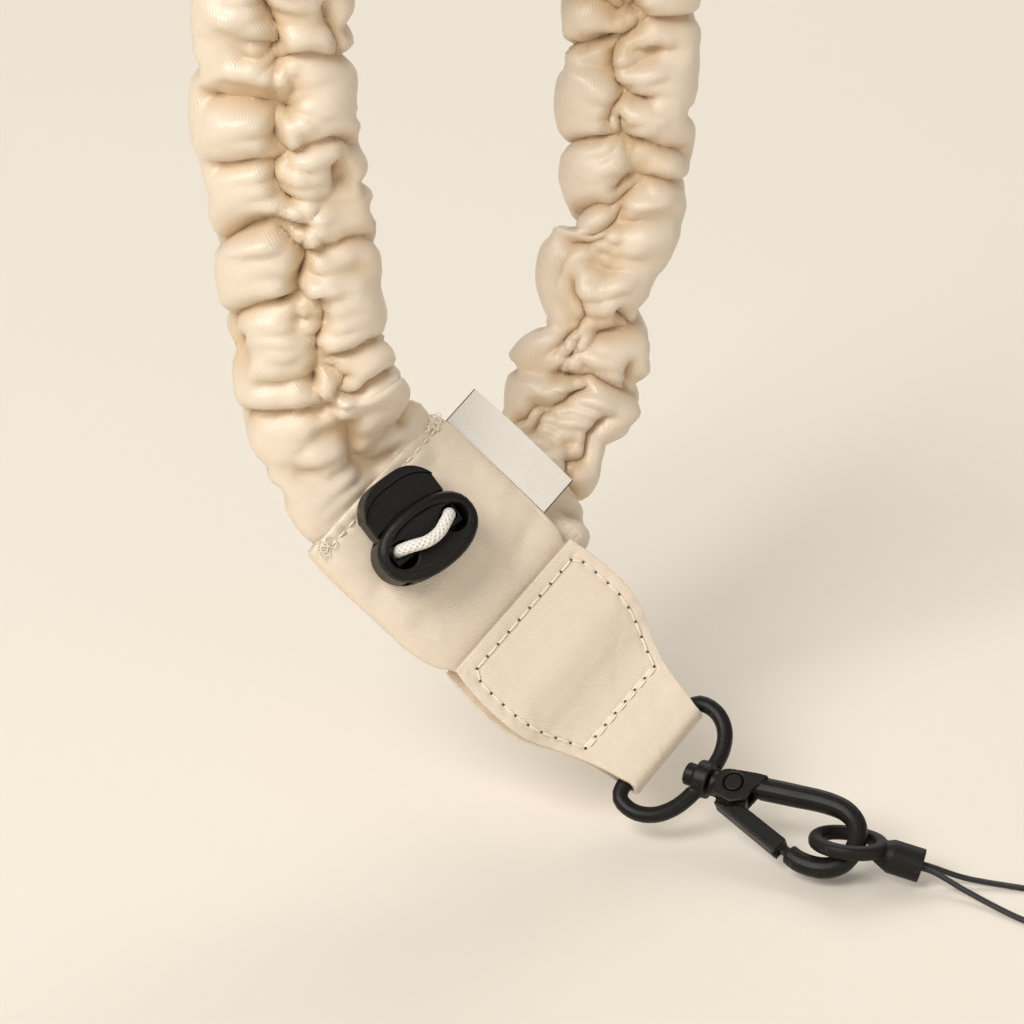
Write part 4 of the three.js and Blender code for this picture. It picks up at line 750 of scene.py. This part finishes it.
MOUTH = {"x": -69.7, "from": -15.5, "to": 14.0, "pitch": 2.3, "stitch": 1.6, "sunk": 0.3}  # in mm
STRANDS = {"lift": 0.0003, "thick": 0.0002}  # how high a stitch's middle stands, and its radius, in metres
mouth_y = np.arange(MOUTH["from"], MOUTH["to"], MOUTH["pitch"])
mouth_y = mouth_y + np.random.default_rng(3).uniform(-0.25, 0.25, len(mouth_y))
mouth_from = np.stack([np.full_like(mouth_y, MOUTH["x"]), mouth_y, mouth_height(mouth_y) - MOUTH["sunk"]], -1)
mouth_to = mouth_from + np.stack([0.1 * np.sin(mouth_y * 5), np.full_like(mouth_y, MOUTH["stitch"]), 0 * mouth_y], -1)
mouth_to[:, 2] = mouth_height(mouth_to[:, 1]) - MOUTH["sunk"]
mouth_ends = (on_tab(places) / 1000 for places in (mouth_from, mouth_to))
mouth_threads = thread_tubes(*mouth_ends, STRANDS["lift"], STRANDS["thick"], OUT_OF_TAB)
mouth_seam = stitched("mouth_stitches", mouth_threads, THREAD)

# ---------- frayed thread ends: small loops of cut thread left at both corners of the mouth seam ----------
# They are the tails of the two running stitches that close the seam, tied off and trimmed by hand.
chance = np.random.default_rng(11)
for corner, (x, y) in {"lower": (-70.5, -16.2), "upper": (-70.8, 13.4)}.items():
    knots = []
    for k in range(9):
        foot = np.array([x + chance.uniform(-0.6, 0.9), y + chance.uniform(-1.4, 2.2)])
        height = mouth_height(foot[1])
        turn = chance.uniform(0, 6.3) + np.linspace(0, chance.uniform(2.5, 5.5), 7)
        size = chance.uniform(0.45, 0.95)
        lift = height + 0.15 + 0.45 * np.sin(np.linspace(0.2, 2.8, 7))
        curl = np.stack([foot[0] + size * np.cos(turn), foot[1] + size * 1.2 * np.sin(turn), lift], -1)
        knots.append(tube_along(curve_through(on_tab(curl) / 1000, 18)[0], 0.00011, 6, first=OUT_OF_TAB))
    frayed = stitched("frayed_ends_" + corner, np.array(knots), THREAD)

# ---------- tab: a satin strip folded round the ring's bar, its two plies sewn together over the panel's end ----------
# The strip is cut wide at the panel and narrow at the bar; its raw edges are turned in. One line of stitches runs round
# the wide part and one crosses the strip behind the bar.
PLY = np.array([
    # x, height of the ply's middle, half width, in mm
    (-37.9, 3.75, 16.3), (-37.0, 3.6, 16.5), (-34.0, 3.35, 17.0), (-29.0, 3.25, 17.4), (-24.0, 3.2, 17.3),
    (-20.0, 2.3, 16.6), (-17.0, 1.4, 15.4), (-14.0, 0.9, 14.0), (-10.5, 0.8, 12.5), (-7.0, 1.35, 11.3),
    (-4.0, 2.05, 10.5), (-1.5, 2.35, 10.0),
])
FOLD = {"middle": 2.45, "half": 9.6, "ply": 0.5}
STITCH_PITCH = 3.0
STITCH_INSET = 2.3     # mm from the strip's edge to its line of stitches
SEWN = (-35.2, -10.2)  # x of the line at the panel and of the line behind the bar


def tab_path():
    """x, z, half width from the lower ply's end round the fold to the upper ply's end."""
    turn = np.linspace(-np.pi / 2, np.pi / 2, 9)
    fold = np.stack([FOLD["middle"] * np.cos(turn), FOLD["middle"] * np.sin(turn), np.full(9, FOLD["half"])], -1)
    lower = PLY * np.array([1, -1, 1])
    return np.vstack([lower, fold, PLY[::-1]])


def stitch_dip(x, y):
    """How far the cloth is drawn in at a place: a narrow groove along the stitches' lines, deeper at each hole."""
    edge = np.interp(x, PLY[:, 0], PLY[:, 2]) - STITCH_INSET
    inside = (x > -36) & (x < -9.5)
    sides = np.exp(-((np.abs(y) - edge) / 0.75) ** 2) * inside
    ends = sum(np.exp(-((x - line) / 0.75) ** 2) for line in SEWN) * (np.abs(y) < edge + 0.5)
    groove = np.maximum(sides, ends)
    return groove * (0.2 + 0.09 * np.cos(2 * np.pi * (x + y) / STITCH_PITCH))


def strip_round(columns, sharpness):
    """Shares of the half width and half thickness round a thin strip, whose faces are flat and whose edges are
    rounded, the tighter the sharper."""
    turn = full_turn(columns)
    up = np.sign(np.sin(turn)) * np.minimum(np.abs(np.sin(turn)) * sharpness, 1) ** 0.5
    return boxed(np.cos(turn), 0.9), up


def tab_grid(rows, columns):
    """A thin strip with rounded edges carried along the path in the tab's x and z, its width across the tab's y."""
    path = tab_path()
    line = curve_through(np.stack([path[:, 0], 0 * path[:, 0], path[:, 1], path[:, 2]], -1), rows)[0]
    ahead = unit(np.gradient(line[:, :3], axis=0))
    out = np.stack([-ahead[:, 2], 0 * ahead[:, 0], ahead[:, 0]], -1) * -1
    across, up = strip_round(columns, 7)
    y = line[:, 3:4] * across[None]
    place = np.stack([line[:, :1] + 0 * y, y, line[:, 2:3] + 0 * y], -1)
    thick = FOLD["ply"] * up[None] - stitch_dip(place[..., 0], y) * np.sign(np.maximum(up, 0))[None]
    edge = np.abs(y) / line[:, 3:4]
    thick += 0.06 * np.sin(line[:, :1] * 1.7 + 2 * np.sign(y)) * eased(edge, 0.8, 1) * np.sign(up)[None]
    return on_tab(place + out[:, None] * thick[..., None]) / 1000


tab_points = tab_grid(230, 120)
tab_wrap = cloth_wrap(tab_points) * (-1, 1)
tab = placed("tab_strip", grid_mesh("tab_strip", tab_points, close_round=True, caps=True, wrap=tab_wrap))
tab.data.materials.append(SATIN)
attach(tab, "strap")
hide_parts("tab")


def holes_along(points, pitch):
    """Even places along a line of x, y rows, about a pitch apart."""
    run = np.concatenate([[0], np.cumsum(np.linalg.norm(np.diff(points, axis=0), axis=1))])
    even = np.linspace(0, run[-1], int(round(run[-1] / pitch)) + 1)
    return np.stack([np.interp(even, run, points[:, k]) for k in (0, 1)], -1)


def on_ply(holes, face):
    """Places on the outside of the upper (1) or lower (-1) ply, in metres."""
    height = np.interp(holes[:, 0], PLY[:, 0], PLY[:, 1]) + FOLD["ply"] - 0.17
    return on_tab(np.stack([holes[:, 0], holes[:, 1], face * height], -1)) / 1000


side_x = np.linspace(*SEWN, 40)
side_y = np.interp(side_x, PLY[:, 0], PLY[:, 2]) - STITCH_INSET
round_line = np.vstack([np.stack([side_x[::-1], -side_y[::-1]], -1), np.stack([side_x, side_y], -1)])
bar_line = np.array([(SEWN[1], -side_y[-1]), (SEWN[1], side_y[-1])])
threads, pricks = [], []
for face in (1, -1):
    out = OUT_OF_TAB * face
    for line, shift in ((round_line, 0.0), (bar_line, 0.0), (bar_line, 0.35), (bar_line, -0.3)):
        holes = holes_along(line, STITCH_PITCH)
        holes = holes + np.array([shift, shift * 0.8])
        threads.append(thread_tubes(on_ply(holes[:-1], face), on_ply(holes[1:], face), 0.00021, 0.0002, out))
        # a dark disc over each hole: painted shade inside the needle hole
        if not shift:
            turn = full_turn(8)[None, None, :, None]
            ring = (ALONG_TAB * np.cos(turn) + ACROSS_TAB * np.sin(turn)) * 0.00027
            spot = on_ply(holes, face)[:, None, None] + out * 0.00019
            depth = np.array([0.0, 0.00006])[None, :, None, None]
            pricks.append(spot + ring * np.array([1.0, 0.8])[None, :, None, None] + out * depth)
tab_stitches = stitched("tab_stitches", np.concatenate(threads), THREAD)
needle_holes = stitched("needle_holes", np.concatenate(pricks), PRICKED)

# ---------- label: a small folded ribbon of woven polyester, let into the panel's side seam ----------
# It is bare. Its cut ends show the ribbon's darker warp threads.
# middle and cut are mm along its cloth: its middle, and how far from there the darker ends begin
LABEL = {"x": (-69.2, -44.4), "y": (17.0, 25.2), "z": 2.5, "half": 0.28, "middle": 12.4, "cut": 12.25}


def label_grid(rows, columns):
    """A thin strip with rounded edges that bows a little along its length and lifts towards its outer fold."""
    y_share, up = strip_round(columns, 6)
    x = np.linspace(*LABEL["x"], rows)[:, None]
    y = np.mean(LABEL["y"]) + y_share[None] * np.ptp(LABEL["y"]) / 2
    lift = 0.35 * np.sin(np.pi * (x + 69.2) / 24.8) + 0.05 * (y - 17) * np.sin((x + 69) / 7)
    return on_tab(np.stack(np.broadcast_arrays(x, y, LABEL["z"] + lift + up[None] * LABEL["half"]), -1)) / 1000


label_points = label_grid(60, 64)
label_cloth, tree, shader = finish_of("label_cloth", (0.60, 0.57, 0.53), 0.75, Sheen_Weight=0.2)
label_map = cloth_place(tree)
plain = sums(tree, "MULTIPLY", waves(tree, label_map, 0.9, 0.5), waves(tree, label_map, 0.7, 0.5, "Y"))
along_label = node(tree, "SeparateXYZ", [("Vector", label_map)]).outputs["Y"]
from_middle = sums(tree, "ABSOLUTE", sums(tree, "SUBTRACT", along_label, LABEL["middle"]))
at_end = sums(tree, "GREATER_THAN", from_middle, LABEL["cut"])
woven = mixed(tree, plain, (0.66, 0.62, 0.56, 1), (0.86, 0.82, 0.75, 1))
tree.links.new(mixed(tree, at_end, woven, (0.03, 0.03, 0.035, 1)), shader.inputs["Base Color"])
tree.links.new(raised(tree, plain, 0.4, 0.0001), shader.inputs["Normal"])
label_wrap = cloth_wrap(label_points)
label = placed("side_label", grid_mesh("side_label", label_points, close_round=True, caps=True, wrap=label_wrap))
label.data.materials.append(label_cloth)
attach(label, "strap")
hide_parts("label")

# ---------- drawcord: a soft white braided cord that gathers the sleeve ----------
# Sewn down inside the sleeve near its far end, it comes back along the sleeve, out of the panel's front wall, through
# one hole of the lock, over its face, and down the other hole into the panel again.
LOCK_PLACE = np.array([-6.294, -32.536, -130.789])  # the middle of the cord lock, in mm from the hang point
LOCK_AXES = np.array([(0.59418, -0.25955, -0.76131), (0.76326, 0.48055, 0.43187), OUT_OF_TAB])
CORD_OVER = np.array([
    # x, y, z on the lock, in mm, to the middle of its face; the other half mirrors it
    (-1.0, -5.7, -3.0), (-1.0, -5.7, 0.0), (-1.0, -5.7, 2.4), (-0.9, -5.3, 3.7), (-0.65, -4.5, 4.6), (-0.2, -3.3, 5.2),
    (0.4, -1.7, 5.5), (0.6, 0.0, 5.6),
])
DRAWCORD_RADIUS = 1.12


def on_lock(points):
    """Places in the lock's own frame, in mm, as places in mm from the hang point."""
    return LOCK_PLACE + np.asarray(points, float) @ LOCK_AXES


def from_lock(x, y, z):
    """A place on the tab's frame that lies under a place on the lock."""
    return (on_lock([(x, y, 0)])[0] - TAB_PLACE) @ TAB_AXES.T * [1, 1, 0] + [0, 0, z]


in_sleeve = along_sleeve(np.linspace(0.9, 0.0, 51) * SLEEVE_LENGTH)[0]
HOLE = {"x": -1, "apart": 5.7}  # the lock's cord holes stand this far to each side of its middle, in mm
lower, upper = from_lock(HOLE["x"], -HOLE["apart"], 0), from_lock(HOLE["x"], HOLE["apart"], 0)
over = np.vstack([CORD_OVER, CORD_OVER[-2::-1] * np.array([1, -1, 1])])
up_to_lock = [(-63.5, -2.5, 2.5), (lower[0] - 1.6, lower[1] + 2, 2.5), (lower[0] - 0.3, lower[1] + 0.4, 3.3)]
back_in = [(upper[0] + 0.3, upper[1] - 0.2, 3.3), (upper[0] + 2, upper[1] - 0.9, 2.4)]
back_in += [(-52, 1.2, 2.2), (-47, 0.8, 2), (-43, 0.5, 1.8)]
drawcord_rows = np.vstack([in_sleeve, on_tab(up_to_lock), on_lock(over), on_tab(back_in)]) / 1000
drawcord_line, drawcord_length = curve_through(drawcord_rows, 900)
white_cord, tree, shader = finish_of("white_cord", (0.84, 0.80, 0.74), 0.7, Sheen_Weight=0.3)
strands = [waves(tree, cloth_place(tree, slant), 0.42, 0.8) for slant in (0.9, -0.9)]
braid = sums(tree, "MAXIMUM", *strands)
fuzzy = sums(tree, "MULTIPLY_ADD", noise(tree, cloth_place(tree), 5.0, 3.0), 0.4, braid)
tree.links.new(mixed(tree, braid, (0.68, 0.63, 0.55, 1), (0.88, 0.85, 0.79, 1)), shader.inputs["Base Color"])
tree.links.new(raised(tree, fuzzy, 0.8, 0.0003), shader.inputs["Normal"])
drawcord = placed("braided_drawcord", grid_mesh(
    "braided_drawcord", tube_along(drawcord_line, DRAWCORD_RADIUS / 1000, 20), close_round=True, caps=True,
    wrap=wrap_of(901, 21, 2 * np.pi * DRAWCORD_RADIUS, drawcord_length * 1000),
))
drawcord.data.materials.append(white_cord)
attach(drawcord, "strap")
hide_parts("drawcord")

# ---------- cord lock and black hardware: moulded plastic and black-coated metal ----------
# The lock's body and button are moulded; the ring, hook, gate and pin are cast and coated, and the loop connector is
# moulded in softer plastic. Every edge is rounded by its mould.


def rescaled(tree, value, *limits):
    """A value carried from one range to another, held inside it."""
    return node(tree, "MapRange", [("Value", value), *limits]).outputs[0]


def black_finish(name, colour, roughness, grain, speck, edge):
    """Black plastic or coating: fine grain and brown specks by place, and a worn lighter tone along sharp edges."""
    material, tree, shader = finish_of(name, colour, roughness, Specular_IOR_Level=0.22)
    place = object_place(tree)
    fine = noise(tree, place, grain, 4.0, Roughness=0.6)
    large = noise(tree, place, 260.0, 3.0)
    edges = node(tree, "NewGeometry").outputs["Pointiness"]
    worn = rescaled(tree, edges, ("From Min", 0.52), ("From Max", 0.62), ("To Max", edge))
    specks = rescaled(tree, fine, ("From Min", 0.60), ("From Max", 0.74), ("To Max", speck))
    pale = sums(tree, "ADD", worn, specks, use_clamp=True)
    tree.links.new(mixed(tree, pale, (*colour, 1), (0.085, 0.062, 0.045, 1)), shader.inputs["Base Color"])
    gloss = rescaled(tree, large, ("To Min", roughness - 0.06), ("To Max", roughness + 0.08))
    tree.links.new(gloss, shader.inputs["Roughness"])
    tree.links.new(raised(tree, fine, 0.22, 0.00006), shader.inputs["Normal"])
    return material


def moulded(name, cad_node, body, material, cell, rounds, reshape=None):
    """A rounded copy of a CAD node: its corners are joined, its skin is laid on an even lattice of small cells, and
    each point is drawn to its neighbours' middle for a few rounds, so that every edge gets a mould's radius."""
    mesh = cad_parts[cad_node].data.copy()
    mesh.name = name
    thing = placed(name, mesh)
    weld = thing.modifiers.new("weld", "WELD")
    weld.merge_threshold = 2e-6
    skin = thing.modifiers.new("skin", "REMESH")
    skin.mode, skin.voxel_size, skin.use_smooth_shade = "VOXEL", cell, True
    soften = thing.modifiers.new("soften", "SMOOTH")
    soften.factor, soften.iterations = 0.5, rounds
    made = bpy.data.meshes.new_from_object(thing.evaluated_get(bpy.context.evaluated_depsgraph_get()))
    thing.modifiers.clear()
    thing.data = made
    if reshape:
        places = np.zeros((len(made.vertices), 3), np.float32)
        made.vertices.foreach_get("co", places.ravel())
        reshaped = on_lock(reshape((places * 1000 - LOCK_PLACE) @ LOCK_AXES.T)) / 1000
        made.vertices.foreach_set("co", reshaped.ravel())
        made.update()
    made.materials.clear()
    made.materials.append(material)
    made.polygons.foreach_set("use_smooth", np.ones(len(made.polygons), bool))
    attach(thing, body)
    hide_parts(cad_node)
    return thing


def open_face(mm):
    """The lock's face: its sunk floor rises to the rim away from the button, so that only the button's side keeps a
    ridge, which stands up a little more in its middle."""
    x, y, z = mm.T
    inside = (np.hypot(x / 5.2, y / 9.4) < 1) & (z > 2.9)
    rise = 0.75 * eased(x, -1.2, 3.2) * eased(z, 2.9, 3.4) * np.clip((4.25 - z) / 0.7, 0, 1)
    ridge = 0.45 * np.exp(-(((x + 5.0) / 1.3) ** 2)) * np.exp(-((y / 6.5) ** 2)) * eased(z, 2.5, 4.0)
    return np.stack([x, y, z + rise * inside + ridge], 1)


def bowed_end(mm):
    """The button's outer end bowed as an arc: each place is drawn in by the cube of its share of the half width, the
    more the farther out it lies. The part inside the body is a little smaller, to run free."""
    x, y, z = mm.T
    hidden = eased(x, -5.8, -4.8)
    y, z = y * (1 - 0.02 * hidden), z * (1 - 0.05 * hidden)
    x = x - 0.3 * np.clip((x + 4.5) / 6, 0, 1)
    return np.stack([x + (3.6 * (np.abs(y) / 7.6) ** 3.2 - 1.1) * np.clip((-x - 4.5) / 7.5, 0, 1), y, z], 1)


plastic = black_finish("black_plastic", (0.0065, 0.0052, 0.004), 0.40, 2600.0, 0.4, 0.25)
coated = black_finish("black_metal", (0.0065, 0.0052, 0.004), 0.40, 3000.0, 0.55, 0.25)
rubber = black_finish("black_rubber", (0.0085, 0.0068, 0.0052), 0.5, 2200.0, 0.3, 0.25)
moulded("lock_body", "cord_lock_body", "strap", plastic, 0.0002, 6, open_face)
moulded("lock_button", "cord_lock_button", "lock_button", plastic, 0.0002, 6, bowed_end)
moulded("swivel_ring_wire", "swivel_ring", "ring", coated, 0.0002, 8)
moulded("hook_body", "snap_hook", "hook", coated, 0.00018, 6)
moulded("hook_pin", "gate_pin", "hook", coated, 0.00012, 3)
moulded("hook_gate", "gate", "gate", coated, 0.00018, 5)
moulded("cord_connector", "loop_connector", "hook", rubber, 0.0002, 7)

# ---------- hole webs: a thin sheet of the lock's black plastic at the foot of each cord hole, painted shade ---
# # Each web closes the hole round the cord, so that the cloth under the lock doesn't show through it and the hole reads
# # as shade.
WEB = {"bore": 1.2, "edge": 2.7, "share": [0.0, 0.0, 0.5, 1.0, 1.0, 0.5], "z": [-3.3, -3.6, -3.6, -3.6, -3.3, -3.3]}
turn, share = full_turn(32), np.array(WEB["share"])[:, None]
for name, side in (("lower", -1), ("upper", 1)):
    middle = HOLE["apart"] * side
    x = (1 - share) * (HOLE["x"] + WEB["bore"] * np.cos(turn)) + share * WEB["edge"] * np.cos(turn)
    y = (1 - share) * (middle + WEB["bore"] * np.sin(turn)) + share * (middle + WEB["edge"] * np.sin(turn))
    web = on_lock(np.stack([x, y, np.array(WEB["z"])[:, None] + 0 * turn], -1)) / 1000
    # a black web in each hole: painted shade where the cloth under the lock would show
    shade_web = placed("hole_shade_web_" + name, grid_mesh("hole_shade_web_" + name, web, close_round=True, close_along=True))
    shade_web.data.materials.append(plastic)
    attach(shade_web, "strap")
